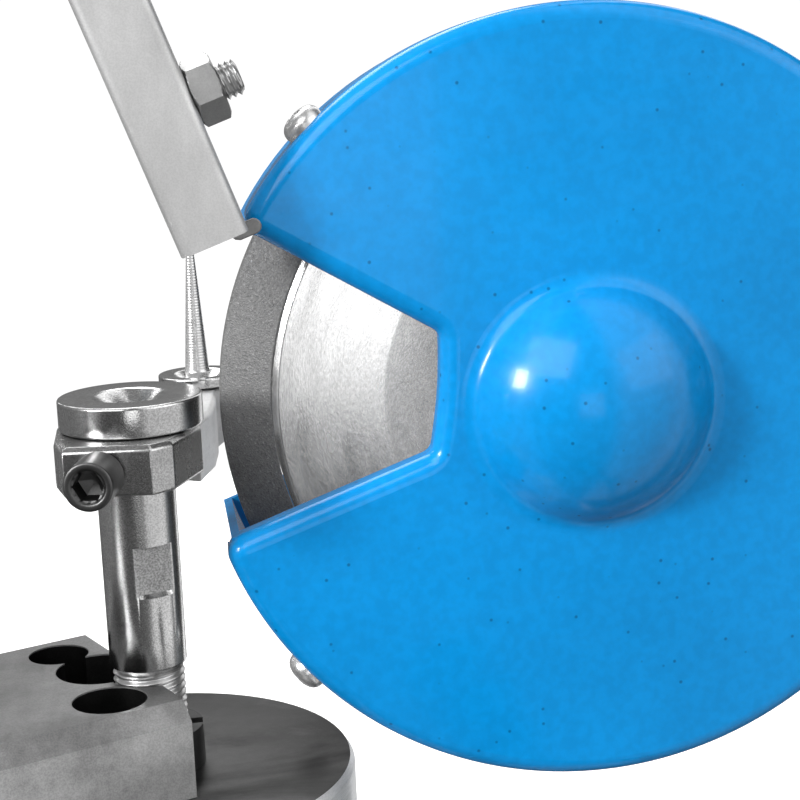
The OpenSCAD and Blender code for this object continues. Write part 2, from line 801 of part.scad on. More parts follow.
module tilt_bolt() {
    color("lightgray") at_tilt() rotate([0, 90, 0]) {
        translate([0, 0, -5]) cylinder(h = 5, r = 12, $fn = 6);
        cylinder(h = plate_t + bracket_t + 8, r = 8);
        translate([0, 0, plate_t + bracket_t + 1.2]) cylinder(h = 8, r = 13, $fn = 6);
    }
}

module capacitor_box() {
    color("dimgray") at_wheel() difference() {
        translate([-26, housing_y + 8, box_top_z - 26]) cube([52, 64, 26]);
        translate([-24, housing_y + 10, box_top_z - 24]) cube([48, 60, 24 + eps]);
        translate([0, housing_y + 80, box_top_z - 13]) rotate([90, 0, 0]) cylinder(h = 20, r = 6);
    }
}

module cable_gland() {
    color("black") at_wheel() translate([0, housing_y + 70, box_top_z - 13]) rotate([-90, 0, 0])
    difference() {
        union() {
            cylinder(h = 6, r = 6);
            translate([0, 0, 2]) cylinder(h = 5, r = 9, $fn = 6);
            translate([0, 0, 7 - eps]) cylinder(h = 8, r1 = 7.5, r2 = 6);
        }
        translate([0, 0, -1]) cylinder(h = 20, r = 3.5);
    }
}

// ---- spindle ----

module motor_shaft() {
    color("lightgray") at_wheel() turned_y([
        [0, -4], [5, -4], [6, -3], [6, 4], [spindle_r, 4], [spindle_r, 24], [13, 24], [13, 28],
        [shaft_r, 28], [shaft_r, core_y], [10, core_y], [10, core_y + core_len], [6, core_y + core_len],
        [6, cover_end_y - 8], [0, cover_end_y - 8]
    ]);
}

module rotor_core() {
    color("silver") at_wheel() ring_y(core_y - 3, core_y + core_len + 3, rotor_r, 10);
}

module cooling_fan() {
    color("black") at_wheel() difference() {
        union() {
            ring_y(rear_end_y + 4, rear_end_y + 16, 11, 6);
            ring_y(rear_end_y + 4, rear_end_y + 6, stator_r, 8);
            for (a = [0:45:315]) rotate([0, a, 0])
                translate([10, rear_end_y + 5, -0.8]) cube([27, 11, 1.6]);
        }
        along_y(rear_end_y, rear_end_y + 20, 6);
    }
}

module wheel_flanges() {
    color("lightgray") at_wheel() {
        turned_y([[spindle_r, 8.2], [18, 8.2], [20, 9.4], [20, hub_y], [spindle_r, hub_y]]);
        turned_y([[spindle_r, hub_back_y], [20, hub_back_y], [20, 24], [spindle_r, 24]]);
    }
}

module wheel_dish() {
    color("silver") at_wheel() turned_y([
        [bore_r, hub_y], [hub_r - 0.6, hub_y], [hub_r, hub_y + 0.5], [rim_in_r, rim_y],
        [rim_in_r, wheel_back_y - 2], [46, wheel_back_y - 3.5], [34, wheel_back_y - 4.5],
        [28, hub_back_y], [bore_r, hub_back_y]
    ]);
}

module abrasive_rim() {
    color("gray") at_wheel() turned_y([
        [rim_in_r, rim_y], [rim_in_r + 1.7, rim_y + 0.35], [rim_in_r + 2, rim_y + 0.8],
        [wheel_r - 0.4, edge_y - 0.3], [wheel_r, edge_y], [wheel_r, wheel_back_y],
        [rim_in_r + 1, wheel_back_y], [rim_in_r, wheel_back_y - 2]
    ]);
}

module spindle_nut() {
    color("dimgray") at_wheel() translate([0, 8.2, 0]) rotate([90, 0, 0]) difference() {
        cylinder(h = 8, r = 11.5, $fn = 6);
        translate([0, 0, -1]) cylinder(h = 10, r = 6);
        translate([0, 0, -1]) cylinder(h = 5.2, r = spindle_r);
    }
}

base_casting();
column();
column_screws();
post();
lock_collar();
support_rod();
cross_clamp();
cross_rod();
arm_bracket();
switch_box();
start_button();
stop_button();
lever_bush();
holed_block();
block_screws();
blade_rail();
rail_stop();
blade_slider();
slider_knob();
centring_cone();
cone_nut();
clamp_arm();
rest_ring();
stop_ring();
stop_pin();
clamp_screw();
channel_bar();
arm_pivot_bolt();
pawl_bolt();
pawl_nut();
pawl();
carriage();
feed_rack();
head_bracket();
bracket_screws();
pinion_shaft();
feed_lever();
lever_grip();
guard_shell();
guard_cover();
cover_screws();
front_bell();
motor_housing();
rear_bell();
fan_cover();
stator_core();
windings();
front_bearing();
rear_bearing();
tilt_plate();
tilt_bolt();
capacitor_box();
cable_gland();
motor_shaft();
rotor_core();
cooling_fan();
wheel_flanges();
wheel_dish();
abrasive_rim();
spindle_nut();
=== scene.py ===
"""Looks of the bench grinder: studio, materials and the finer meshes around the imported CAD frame."""
import json
import math

import bmesh
import bpy
from mathutils import Matrix, Vector


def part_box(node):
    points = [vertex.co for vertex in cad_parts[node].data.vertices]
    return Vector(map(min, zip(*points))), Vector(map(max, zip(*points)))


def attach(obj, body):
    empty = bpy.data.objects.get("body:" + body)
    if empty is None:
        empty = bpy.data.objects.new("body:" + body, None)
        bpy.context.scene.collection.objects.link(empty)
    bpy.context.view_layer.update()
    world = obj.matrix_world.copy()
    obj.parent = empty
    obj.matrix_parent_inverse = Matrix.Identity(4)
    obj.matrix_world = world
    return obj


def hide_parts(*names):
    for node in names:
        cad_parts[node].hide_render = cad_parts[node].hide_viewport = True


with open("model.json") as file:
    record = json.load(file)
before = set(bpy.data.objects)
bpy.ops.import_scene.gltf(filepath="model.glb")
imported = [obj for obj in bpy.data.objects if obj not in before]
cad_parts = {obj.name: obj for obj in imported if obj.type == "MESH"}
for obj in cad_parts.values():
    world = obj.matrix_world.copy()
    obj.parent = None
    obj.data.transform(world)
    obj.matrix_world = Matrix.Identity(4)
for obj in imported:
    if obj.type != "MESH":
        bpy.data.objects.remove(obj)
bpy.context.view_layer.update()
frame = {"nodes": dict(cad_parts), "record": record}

MM = 0.001


def box_centre(node):
    """Middle of a CAD node's box, in metres."""
    low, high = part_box(node)
    return (Vector(low) + Vector(high)) / 2


# The wheel axis and the guard's front face give the reference point of every measure below.
AXIS = box_centre("wheel_dish")
DISH_DEPTH = 12.2           # mm from the guard's face back to the wheel's hub
GUARD_FRONT_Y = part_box("wheel_dish")[0][1] - DISH_DEPTH * MM
HUB = Vector((AXIS.x, GUARD_FRONT_Y, AXIS.z))
COLUMN = box_centre("rest_ring")
BLOCK_TOP_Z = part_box("holed_block")[1][2]
BLOCK_TURN = math.radians(24)


def block_bore(x, y, radius):
    """A bore given in mm in the block's own turned frame, as (x, y, radius) in metres."""
    along_x = Vector((math.cos(BLOCK_TURN), math.sin(BLOCK_TURN)))
    along_y = Vector((-math.sin(BLOCK_TURN), math.cos(BLOCK_TURN)))
    at = Vector((COLUMN.x, COLUMN.y)) + (along_x * x + along_y * y) * MM
    return at.x, at.y, radius * MM


BLOCK_BORES = [
    block_bore(-8.6, 19.2, 5.2), block_bore(-10.4, -7.4, 6.1),
    block_bore(-5.6, 7.6, 7.6), block_bore(0, 0, 6.6),
]


# ---- camera, light and floor ----

CAMERA_FROM_HUB = Vector((-73.25, -288.4, 61.09)) * MM
CAMERA_YAW = math.radians(7.889)
CAMERA_PITCH = math.radians(11.286)
CAMERA_ROLL = math.radians(-2.375)
SENSOR_MM = 36.0
LENS_MM = 79.97


def make_camera():
    """A pinhole camera in front of the guard, turned by its yaw, pitch and roll."""
    data = bpy.data.cameras.new("camera")
    data.sensor_width = SENSOR_MM
    data.lens = LENS_MM
    data.clip_start = 0.01
    data.clip_end = 60.0
    camera = bpy.data.objects.new("camera", data)
    bpy.context.scene.collection.objects.link(camera)
    cy, sy = math.cos(CAMERA_YAW), math.sin(CAMERA_YAW)
    cp, sp = math.cos(CAMERA_PITCH), math.sin(CAMERA_PITCH)
    forward = Vector((sy * cp, cy * cp, -sp))
    right = Vector((cy, -sy, 0.0))
    up = right.cross(forward)
    cr, sr = math.cos(CAMERA_ROLL), math.sin(CAMERA_ROLL)
    rolled_right = right * cr + up * sr
    rolled_up = up * cr - right * sr
    turn = Matrix((rolled_right, rolled_up, -forward)).transposed()
    camera.matrix_world = Matrix.Translation(HUB + CAMERA_FROM_HUB) @ turn.to_4x4()
    bpy.context.scene.camera = camera
    bpy.context.scene.view_settings.view_transform = "Standard"


class Nodes:
    """A small helper that adds shader nodes and links them by keyword."""

    def __init__(self, tree):
        self.tree = tree
        tree.nodes.clear()

    def add(self, kind, values=None, **links):
        node = self.tree.nodes.new(kind)
        for name, value in (values or {}).items():
            if name in node.inputs:
                node.inputs[name].default_value = value
            else:
                setattr(node, name, value)
        for name, source in links.items():
            socket = node.inputs[name.replace("_", " ")]
            self.tree.links.new(source, socket)
        return node

    def link(self, source, target):
        self.tree.links.new(source, target)


def math_node(nodes, operation, a, b=None):
    """A Math node on sockets or plain numbers."""
    node = nodes.tree.nodes.new("ShaderNodeMath")
    node.operation = operation
    for index, value in enumerate((a, b)):
        if value is None:
            continue
        if isinstance(value, (int, float)):
            node.inputs[index].default_value = value
        else:
            nodes.link(value, node.inputs[index])
    return node.outputs[0]


def hypotenuse(nodes, a, b):
    """Length of a vector from its two sides."""
    squares = [math_node(nodes, "MULTIPLY", side, side) for side in (a, b)]
    return math_node(nodes, "SQRT", math_node(nodes, "ADD", *squares))


def ramp_node(nodes, source, stops):
    """A colour ramp through (place, colour or grey) stops."""
    node = nodes.tree.nodes.new("ShaderNodeValToRGB")
    elements = node.color_ramp.elements
    while len(elements) < len(stops):
        elements.new(0.5)
    for element, (place, colour) in zip(elements, stops):
        element.position = place
        if isinstance(colour, (int, float)):
            colour = (colour, colour, colour)
        element.color = (*colour, 1.0)
    nodes.link(source, node.inputs["Fac"])
    return node.outputs["Color"]


def multiply(nodes, first, second):
    """The product of two colours."""
    mixed = nodes.add("ShaderNodeMix", {"data_type": "RGBA", "blend_type": "MULTIPLY"})
    mixed.inputs[0].default_value = 1.0
    nodes.link(first, mixed.inputs[6])
    nodes.link(second, mixed.inputs[7])
    return mixed.outputs[2]


def by_camera_ray(nodes, others, seen):
    """One shader for what the camera sees and another for all other rays."""
    path = nodes.add("ShaderNodeLightPath")
    mix = nodes.add("ShaderNodeMixShader")
    nodes.link(path.outputs["Is Camera Ray"], mix.inputs[0])
    nodes.link(others.outputs[0], mix.inputs[1])
    nodes.link(seen.outputs[0], mix.inputs[2])
    return mix.outputs[0]


# Brightness of the studio by compass angle from the front (-Y) towards +X, in degrees.
STUDIO_ROUND = [
    (-180, 0.16), (-135, 0.20), (-115, 0.24), (-88, 0.28), (-72, 0.42), (-60, 0.40),
    (-46, 0.08), (-8, 0.09), (14, 0.18), (26, 0.80), (62, 0.80), (84, 0.95),
    (94, 0.06), (140, 0.05), (146, 1.4), (154, 1.4), (160, 0.17), (180, 0.16),
]
# And by the sine of the height above the horizon.
STUDIO_UP = [
    (-1.0, 0.9), (-0.37, 1.25), (-0.27, 1.05), (-0.1, 1.0),
    (0.05, 1.25), (0.3, 1.5), (0.6, 1.6), (1.0, 1.8),
]
STUDIO_UP_SCALE = 2.5       # keeps the ramp's values below 1
BACKDROP_STRENGTH = 1.05


def make_world():
    """White where the camera looks past the object, soft boxes and dark gaps where metal reflects."""
    world = bpy.data.worlds.new("studio")
    bpy.context.scene.world = world
    world.use_nodes = True
    nodes = Nodes(world.node_tree)
    coords = nodes.add("ShaderNodeTexCoord")
    split = nodes.add("ShaderNodeSeparateXYZ", Vector=coords.outputs["Generated"])
    x, y, z = split.outputs
    azimuth = math_node(nodes, "ARCTAN2", x, math_node(nodes, "MULTIPLY", y, -1.0))
    turn = math_node(nodes, "ADD", math_node(nodes, "DIVIDE", azimuth, 2 * math.pi), 0.5)
    boxes = ramp_node(nodes, turn, [(angle / 360 + 0.5, value) for angle, value in STUDIO_ROUND])
    lifted = math_node(nodes, "ADD", math_node(nodes, "MULTIPLY", z, 0.5), 0.5)
    stops = [(rise / 2 + 0.5, value / STUDIO_UP_SCALE) for rise, value in STUDIO_UP]
    height = ramp_node(nodes, lifted, stops)
    glow = multiply(nodes, boxes, height)
    studio = nodes.add("ShaderNodeBackground", {"Strength": STUDIO_UP_SCALE}, Color=glow)
    white = nodes.add("ShaderNodeBackground", {"Color": (1, 1, 1, 1), "Strength": BACKDROP_STRENGTH})
    nodes.add("ShaderNodeOutputWorld", Surface=by_camera_ray(nodes, studio, white))


def area_light(name, place, target, size, watts):
    data = bpy.data.lights.new(name, "AREA")
    data.shape = "RECTANGLE"
    data.size, data.size_y = size
    data.energy = watts
    light = bpy.data.objects.new(name, data)
    light.location = place
    light.rotation_euler = (Vector(target) - Vector(place)).to_track_quat("-Z", "Y").to_euler()
    bpy.context.scene.collection.objects.link(light)


def make_lights():
    area_light("left_key", HUB + Vector((-0.74, -0.39, 0.26)), HUB, (0.16, 0.2), 7.0)
    area_light("front_key", HUB + Vector((-0.42, -0.50, 0.50)), HUB, (0.55, 0.45), 3.4)
    area_light("side_fill", HUB + Vector((0.9, -0.7, 0.5)), HUB, (1.0, 0.7), 2.5)
    area_light("dish_box", HUB + Vector((-0.03, -1.0, -0.01)), HUB, (0.34, 0.32), 0.54)
    area_light("back", HUB + Vector((-0.3, 0.8, 0.9)), HUB, (0.9, 0.5), 8.0)


FLOOR_HALF = 0.75           # m


def make_floor():
    """A pale floor on the bench level. It glows a little, so that it melts into the white backdrop."""
    mesh = bpy.data.meshes.new("studio_floor")
    corners = [(x * FLOOR_HALF, y * FLOOR_HALF, 0) for x, y in ((-1, -1), (1, -1), (1, 1), (-1, 1))]
    mesh.from_pydata(corners, [], [(0, 1, 2, 3)])
    floor = bpy.data.objects.new("studio_floor", mesh)
    floor.location.z = -0.0005
    floor.visible_glossy = False
    bpy.context.scene.collection.objects.link(floor)
    material = bpy.data.materials.new("studio_floor")
    material.use_nodes = True
    nodes = Nodes(material.node_tree)
    grain = nodes.add("ShaderNodeTexNoise", {"Scale": 3.0, "Detail": 4.0})
    colour = ramp_node(nodes, grain.outputs["Fac"], [(0.3, 0.80), (0.7, 0.84)])
    values = {"Roughness": 0.9, "Emission Color": (1, 1, 1, 1), "Emission Strength": 0.55}
    pale = nodes.add("ShaderNodeBsdfPrincipled", values, Base_Color=colour)
    dim = nodes.add("ShaderNodeBsdfDiffuse", {"Color": (0.16, 0.16, 0.16, 1)})
    nodes.add("ShaderNodeOutputMaterial", Surface=by_camera_ray(nodes, dim, pale))
    mesh.materials.append(material)


# ---- materials ----

def shade(colour, factor):
    """A colour made darker or lighter."""
    return tuple(min(1.0, c * factor) for c in colour)


def new_material(name):
    material = bpy.data.materials.new(name)
    material.use_nodes = True
    return material, Nodes(material.node_tree)


def object_coords(nodes, centre=None, scale=(1, 1, 1)):
    """Object coordinates, stretched by a scale and measured from a centre."""
    coords = nodes.add("ShaderNodeTexCoord").outputs["Object"]
    mapping = nodes.add("ShaderNodeMapping", {"vector_type": "POINT"}, Vector=coords)
    mapping.inputs["Scale"].default_value = scale
    if centre is not None:
        mapping.inputs["Location"].default_value = [-c * s for c, s in zip(centre, scale)]
    return mapping.outputs[0]


def noise(nodes, coords, scale, detail=3.0, rough=0.5):
    values = {"Scale": scale, "Detail": detail, "Roughness": rough}
    return nodes.add("ShaderNodeTexNoise", values, Vector=coords).outputs["Fac"]


def bump(nodes, height, strength, distance, normal=None):
    node = nodes.add("ShaderNodeBump", {"Strength": strength, "Distance": distance}, Height=height)
    if normal is not None:
        nodes.link(normal, node.inputs["Normal"])
    return node.outputs[0]


def finish_material(nodes, values, colour, roughness, normal):
    """Adds the surface shader and the material's output."""
    shader = nodes.add("ShaderNodeBsdfPrincipled", values, Base_Color=colour, Roughness=roughness,
                       Normal=normal)
    nodes.add("ShaderNodeOutputMaterial", Surface=shader.outputs[0])
    return shader


def enamel(name, colour):
    """Sprayed gloss enamel: faint orange peel, slight tone drift, dust nibs and a few dark specks."""
    material, nodes = new_material(name)
    coords = object_coords(nodes)
    drift = noise(nodes, coords, 18.0, 3.0)
    tone = ramp_node(nodes, drift, [(0.35, shade(colour, 0.90)), (0.65, shade(colour, 1.06))])
    peel = noise(nodes, coords, 620.0, 2.0)
    cells = nodes.add("ShaderNodeTexVoronoi", {"Scale": 330.0}, Vector=coords)
    nibs = ramp_node(nodes, cells.outputs["Distance"], [(0.0, 1.0), (0.14, 0.0)])
    chance = nodes.add("ShaderNodeSeparateColor", Color=cells.outputs["Color"]).outputs[0]
    specks = math_node(nodes, "MULTIPLY", nibs, math_node(nodes, "GREATER_THAN", chance, 0.55))
    tone = multiply(nodes, tone, ramp_node(nodes, specks, [(0.05, 1.0), (0.6, 0.5)]))
    tone = multiply(nodes, tone, ramp_node(nodes, peel, [(0.35, 0.93), (0.65, 1.04)]))
    height = math_node(nodes, "ADD", math_node(nodes, "MULTIPLY", peel, 0.5), nibs)
    smears = noise(nodes, object_coords(nodes, scale=(1, 1, 3)), 60.0, 4.0)
    roughness = ramp_node(nodes, smears, [(0.3, 0.17), (0.75, 0.27)])
    normal = bump(nodes, height, 0.10, 0.0002)
    values = {"Coat Weight": 0.10, "Coat Roughness": 0.05, "Specular IOR Level": 0.22}
    finish_material(nodes, values, tone, roughness, normal)
    return material


def bore_shadow(nodes, bores, top):
    """Painted shade: 1 on the block's faces and 0.04 down its bores, each given as (x, y, radius) in
    metres.
    """
    coords = nodes.add("ShaderNodeTexCoord").outputs["Object"]
    x, y, z = nodes.add("ShaderNodeSeparateXYZ", Vector=coords).outputs
    inside = None
    for bx, by, radius in bores:
        dx = math_node(nodes, "SUBTRACT", x, bx)
        dy = math_node(nodes, "SUBTRACT", y, by)
        gap = hypotenuse(nodes, dx, dy)
        this = math_node(nodes, "LESS_THAN", gap, radius + 0.25 * MM)
        inside = this if inside is None else math_node(nodes, "MAXIMUM", inside, this)
    down = math_node(nodes, "LESS_THAN", z, top - 0.25 * MM)
    return ramp_node(nodes, math_node(nodes, "MULTIPLY", inside, down), [(0.4, 1.0), (0.6, 0.04)])


def painted_top_shade(nodes, tone):
    """Painted shade: 1 on upright faces and a darker tone on faces that look up."""
    normal = nodes.add("ShaderNodeTexCoord").outputs["Normal"]
    up = nodes.add("ShaderNodeSeparateXYZ", Vector=normal).outputs[2]
    return ramp_node(nodes, up, [(0.45, 1.0), (0.75, tone)])


def worn_metal(name, colour, rough, grain_scale, grain=(1, 1, 1), grain_depth=0.25, stains=0.25,
               metallic=1.0, speckle=0.1, top_shade_tone=1.0, smears=0.0, bores=()):
    """Machined metal: directional grain, cloudy stains and fine specks."""
    material, nodes = new_material(name)
    coords = object_coords(nodes)
    stretched = object_coords(nodes, scale=grain)
    lines = noise(nodes, stretched, grain_scale, 4.0, 0.6)
    clouds = noise(nodes, coords, 70.0, 5.0, 0.6)
    tone = ramp_node(nodes, clouds, [(0.36, shade(colour, 1 - stains)), (0.62, colour)])
    tone = multiply(nodes, tone, ramp_node(nodes, lines, [(0.3, 0.84), (0.65, 1.0)]))
    specks = noise(nodes, coords, 3400.0, 2.0, 0.6)
    tone = multiply(nodes, tone, ramp_node(nodes, specks, [(0.38, 1.0 - speckle), (0.60, 1.0)]))
    if smears:
        values = {"Scale": 34.0, "Detail": 7.0, "Roughness": 0.62, "Distortion": 1.6}
        wide = object_coords(nodes, scale=(0.5, 1, 1))
        wiped = nodes.add("ShaderNodeTexNoise", values, Vector=wide).outputs["Fac"]
        stops = [(0.30, 1.0 - smears), (0.46, 1.0), (0.56, 1.0), (0.72, 1.0 + 1.6 * smears)]
        tone = multiply(nodes, tone, ramp_node(nodes, wiped, stops))
    # Painted shade: faces that look up are darkened.
    if top_shade_tone < 1.0:
        tone = multiply(nodes, tone, painted_top_shade(nodes, top_shade_tone))
    # Painted shade down the block's bores.
    if bores:
        tone = multiply(nodes, tone, bore_shadow(nodes, bores, BLOCK_TOP_Z))
    roughness = ramp_node(nodes, clouds, [(0.35, rough * 1.35), (0.65, rough)])
    normal = bump(nodes, specks, speckle, 0.00006, bump(nodes, lines, grain_depth, 0.00008))
    finish_material(nodes, {"Metallic": metallic}, tone, roughness, normal)
    return material


HUB_R = 34.4                # mm, flat middle of the dish
LIP_R = 52.7                # mm, where its chamfered lip starts


def turned_metal(name, colour, rough, centre, hub_shade, lip_shade):
    """Face-turned metal: fine rings about the Y axis through centre, and painted shade that darkens the
    hub and the lip.
    """
    material, nodes = new_material(name)
    coords = object_coords(nodes, centre)
    split = nodes.add("ShaderNodeSeparateXYZ", Vector=coords)
    x, y, z = split.outputs
    radius = hypotenuse(nodes, x, z)
    ring_at = nodes.add("ShaderNodeCombineXYZ", X=radius)
    angle = math_node(nodes, "ARCTAN2", z, math_node(nodes, "MULTIPLY", x, -1.0))
    nodes.link(math_node(nodes, "MULTIPLY", angle, 0.012), ring_at.inputs["Y"])
    nodes.link(y, ring_at.inputs["Z"])
    rings = noise(nodes, ring_at.outputs[0], 4200.0, 3.0, 0.7)
    broad = noise(nodes, ring_at.outputs[0], 320.0, 2.0)
    blotches = noise(nodes, coords, 45.0, 4.0)
    tone = ramp_node(nodes, rings, [(0.36, shade(colour, 0.80)), (0.6, colour)])
    reach = math_node(nodes, "DIVIDE", radius, 0.1)
    hub_at, lip_at = HUB_R * MM / 0.1, LIP_R * MM / 0.1
    # Painted shade: the flat hub and the chamfered lip are darker than the cone, standing in for their
    # duller reflections.
    zone_shade = ramp_node(nodes, reach, [
        (0.0, hub_shade), (hub_at - 0.003, hub_shade), (hub_at + 0.002, 1.0),
        (lip_at - 0.001, 1.0), (lip_at + 0.002, lip_shade), (1.0, lip_shade),
    ])
    tone = multiply(nodes, tone, zone_shade)
    tone = multiply(nodes, tone, ramp_node(nodes, blotches, [(0.3, 0.9), (0.6, 1.0)]))
    roughness = ramp_node(nodes, broad, [(0.3, rough * 0.8), (0.7, rough * 1.25)])
    normal = bump(nodes, rings, 0.22, 0.00006)
    values = {"Metallic": 0.9, "Anisotropic": 0.3}
    shader = finish_material(nodes, values, tone, roughness, normal)
    tangent = nodes.add("ShaderNodeTangent", {"direction_type": "RADIAL", "axis": "Y"})
    nodes.link(tangent.outputs[0], shader.inputs["Tangent"])
    return material


def grit(name, colour):
    """Bonded abrasive: dark matrix with pale and black grains and pits."""
    material, nodes = new_material(name)
    coords = object_coords(nodes)
    cells = nodes.add("ShaderNodeTexVoronoi", {"Scale": 3600.0}, Vector=coords)
    sparkle = nodes.add("ShaderNodeSeparateColor", Color=cells.outputs["Color"]).outputs[0]
    fine = noise(nodes, coords, 2600.0, 2.0)
    tone = ramp_node(nodes, sparkle, [
        (0.0, shade(colour, 0.7)), (0.4, colour), (0.9, colour),
        (0.95, shade(colour, 1.2)), (1.0, shade(colour, 1.5)),
    ])
    height = math_node(nodes, "ADD", cells.outputs["Distance"], fine)
    normal = bump(nodes, height, 0.5, 0.00015)
    roughness = ramp_node(nodes, fine, [(0.3, 0.5), (0.7, 0.72)])
    finish_material(nodes, {"Metallic": 0.35}, tone, roughness, normal)
    return material


def plastic(name, colour, rough):
    """Moulded plastic: fine pores and soft wear."""
    material, nodes = new_material(name)
    coords = object_coords(nodes)
    pores = noise(nodes, coords, 900.0, 2.0)
    wear = noise(nodes, coords, 40.0, 4.0)
    tone = ramp_node(nodes, wear, [(0.3, shade(colour, 0.85)), (0.7, shade(colour, 1.1))])
    roughness = ramp_node(nodes, wear, [(0.3, rough * 0.85), (0.7, rough * 1.2)])
    normal = bump(nodes, pores, 0.12, 0.0001)
    finish_material(nodes, {"Specular IOR Level": 0.5}, tone, roughness, normal)
    return material


def hammered_paint(name, colour):
    """Machine enamel over a casting: soft dimples, dull gloss and a cloudy tone."""
    material, nodes = new_material(name)
    coords = object_coords(nodes)
    values = {"Scale": 300.0, "feature": "SMOOTH_F1"}
    dimples = nodes.add("ShaderNodeTexVoronoi", values, Vector=coords).outputs["Distance"]
    rough_cast = noise(nodes, coords, 120.0, 4.0)
    tone = ramp_node(nodes, rough_cast, [(0.3, shade(colour, 0.92)), (0.7, shade(colour, 1.05))])
    height = math_node(nodes, "ADD", dimples, math_node(nodes, "MULTIPLY", rough_cast, 0.6))
    roughness = ramp_node(nodes, rough_cast, [(0.3, 0.42), (0.7, 0.3)])
    normal = bump(nodes, height, 0.35, 0.0006)
    finish_material(nodes, {"Coat Weight": 0.2, "Coat Roughness": 0.2}, tone, roughness, normal)
    return material


def grey(value):
    return (value, value, value)


def make_materials():
    """Every look, by its short name."""
    block_grain = (1, 0.12, 1)
    return {
        "blue": enamel("blue_enamel", (0.0020, 0.248, 0.62)),
        "casting": hammered_paint("casting_paint", (0.30, 0.32, 0.33)),
        "cover_paint": hammered_paint("dark_cover_paint", (0.05, 0.055, 0.06)),
        "polished": worn_metal("polished_steel", grey(0.68), 0.16, 260.0, (1, 1, 0.15), 0.06,
            0.20, speckle=0.28),
        "post_steel": worn_metal("post_steel", grey(0.72), 0.19, 300.0, (1, 1, 0.06), 0.10,
            0.25, speckle=0.25),
        "ground": worn_metal("ground_steel", grey(0.46), 0.36, 420.0, block_grain, 0.30, 0.30),
        "column_top": worn_metal("column_steel", grey(0.16), 0.30, 90.0, (0.4, 1, 1), 0.20,
            0.3, smears=0.6),
        "pin_steel": worn_metal("pin_steel", grey(0.75), 0.24, 500.0, (1, 1, 2.5), 0.5, 0.15,
            metallic=0.75),
        "milled_flat": worn_metal("milled_flat", grey(0.47), 0.5, 900.0, (1, 1, 0.4), 1.0, 0.1,
            metallic=0.7, speckle=0.5),
        "pale_steel": worn_metal("pale_steel", grey(0.86), 0.42, 240.0, (0.15, 0.15, 1), 0.12,
            0.2, metallic=0.7),
        "screw_zinc": worn_metal("screw_zinc", grey(0.85), 0.26, 300.0, (1, 1, 1), 0.1, 0.2,
            metallic=0.8),
        "spring_steel": worn_metal("spring_steel", grey(0.30), 0.35, 300.0, (1, 1, 1), 0.1, 0.2),
        # The block gets painted shade on the faces that look up and down its bores.
        "block": worn_metal("block_steel", grey(0.60), 0.38, 420.0, block_grain, 0.30, 0.35,
            metallic=0.9, speckle=0.2, top_shade_tone=0.48, bores=BLOCK_BORES),
        "brushed": worn_metal("brushed_arm", grey(0.58), 0.22, 240.0, (0.15, 0.15, 1), 0.12,
            0.3, speckle=0.3),
        "thread_steel": worn_metal("thread_steel", grey(0.66), 0.30, 500.0, (1, 1, 1), 0.2, 0.35),
        "bright_side": worn_metal("column_side", grey(0.88), 0.36, 300.0, (1, 1, 12), 0.12,
            0.08, metallic=0.75),
        "nut_zinc": worn_metal("nut_zinc", grey(0.40), 0.34, 300.0, (1, 1, 1), 0.15, 0.2),
        "zinc": worn_metal("zinc_sheet", grey(0.60), 0.46, 160.0, (1, 1, 0.35), 0.12, 0.12,
            metallic=0.7),
        "black_oxide": worn_metal("black_oxide", grey(0.11), 0.36, 500.0, (1, 1, 1), 0.15, 0.35),
        # The dish's hub and lip get painted shade.
        "dish": turned_metal("turned_dish", grey(1.0), 0.22, HUB, hub_shade=0.84, lip_shade=0.4),
        "grit": grit("abrasive_grit", grey(0.16)),
        "black_plastic": plastic("black_plastic", grey(0.018), 0.42),
        "green": plastic("green_plastic", (0.02, 0.36, 0.09), 0.3),
        "red": plastic("red_plastic", (0.62, 0.02, 0.02), 0.3),
        "bronze": worn_metal("bronze", (0.62, 0.40, 0.17), 0.3, 300.0, (1, 0.1, 1), 0.2, 0.25),
        "laminations": worn_metal("laminations", grey(0.22), 0.5, 900.0, (0.02, 1, 0.02), 0.5, 0.3),
        "copper": worn_metal("copper_windings", (0.62, 0.22, 0.08), 0.35, 700.0, (0.1, 1, 0.1),
            0.6, 0.2),
    }


NODE_LOOKS = {
    "blue": ["guard_cover", "guard_shell"],
    "casting": ["base_casting", "carriage", "head_bracket", "tilt_plate", "front_bell", "motor_housing",
                "rear_bell", "arm_bracket", "cross_clamp"],
    "cover_paint": ["fan_cover", "capacitor_box", "switch_box"],
    "polished": ["rest_ring", "stop_ring", "stop_pin", "support_rod", "cross_rod", "centring_cone",
                 "cover_screws", "pinion_shaft", "motor_shaft", "front_bearing", "rear_bearing"],
    "post_steel": ["post"],
    "block": ["holed_block"],
    "ground": ["blade_rail", "clamp_arm", "wheel_flanges", "blade_slider", "feed_rack"],
    "column_top": ["column"],
    "zinc": ["channel_bar", "pawl_bolt", "pawl_nut", "pawl", "tilt_bolt"],
    "black_oxide": ["clamp_screw", "column_screws", "block_screws", "bracket_screws", "lock_collar",
                    "rail_stop", "spindle_nut", "feed_lever"],
    "dish": ["wheel_dish", "rotor_core"],
    "grit": ["abrasive_rim"],
    "black_plastic": ["slider_knob", "cone_nut", "arm_pivot_bolt", "lever_grip", "cable_gland",
                      "cooling_fan"],
    "green": ["start_button"],
    "red": ["stop_button"],
    "bronze": ["lever_bush"],
    "laminations": ["stator_core"],
    "copper": ["windings"],
}


def hide_from_gloss():
    """The grinding head stays out of the metal's reflections, which keeps the steel neutral grey."""
    for body in ("head", "spindle"):
        for name in frame["record"]["behaviour"]["bodies"][body]:
            frame["nodes"][name].visible_glossy = False


def paint_nodes(materials):
    for look, names in NODE_LOOKS.items():
        for name in names:
            for slot in frame["nodes"][name].material_slots:
                slot.material = materials[look]


# ---- softened edges on the CAD pieces ----

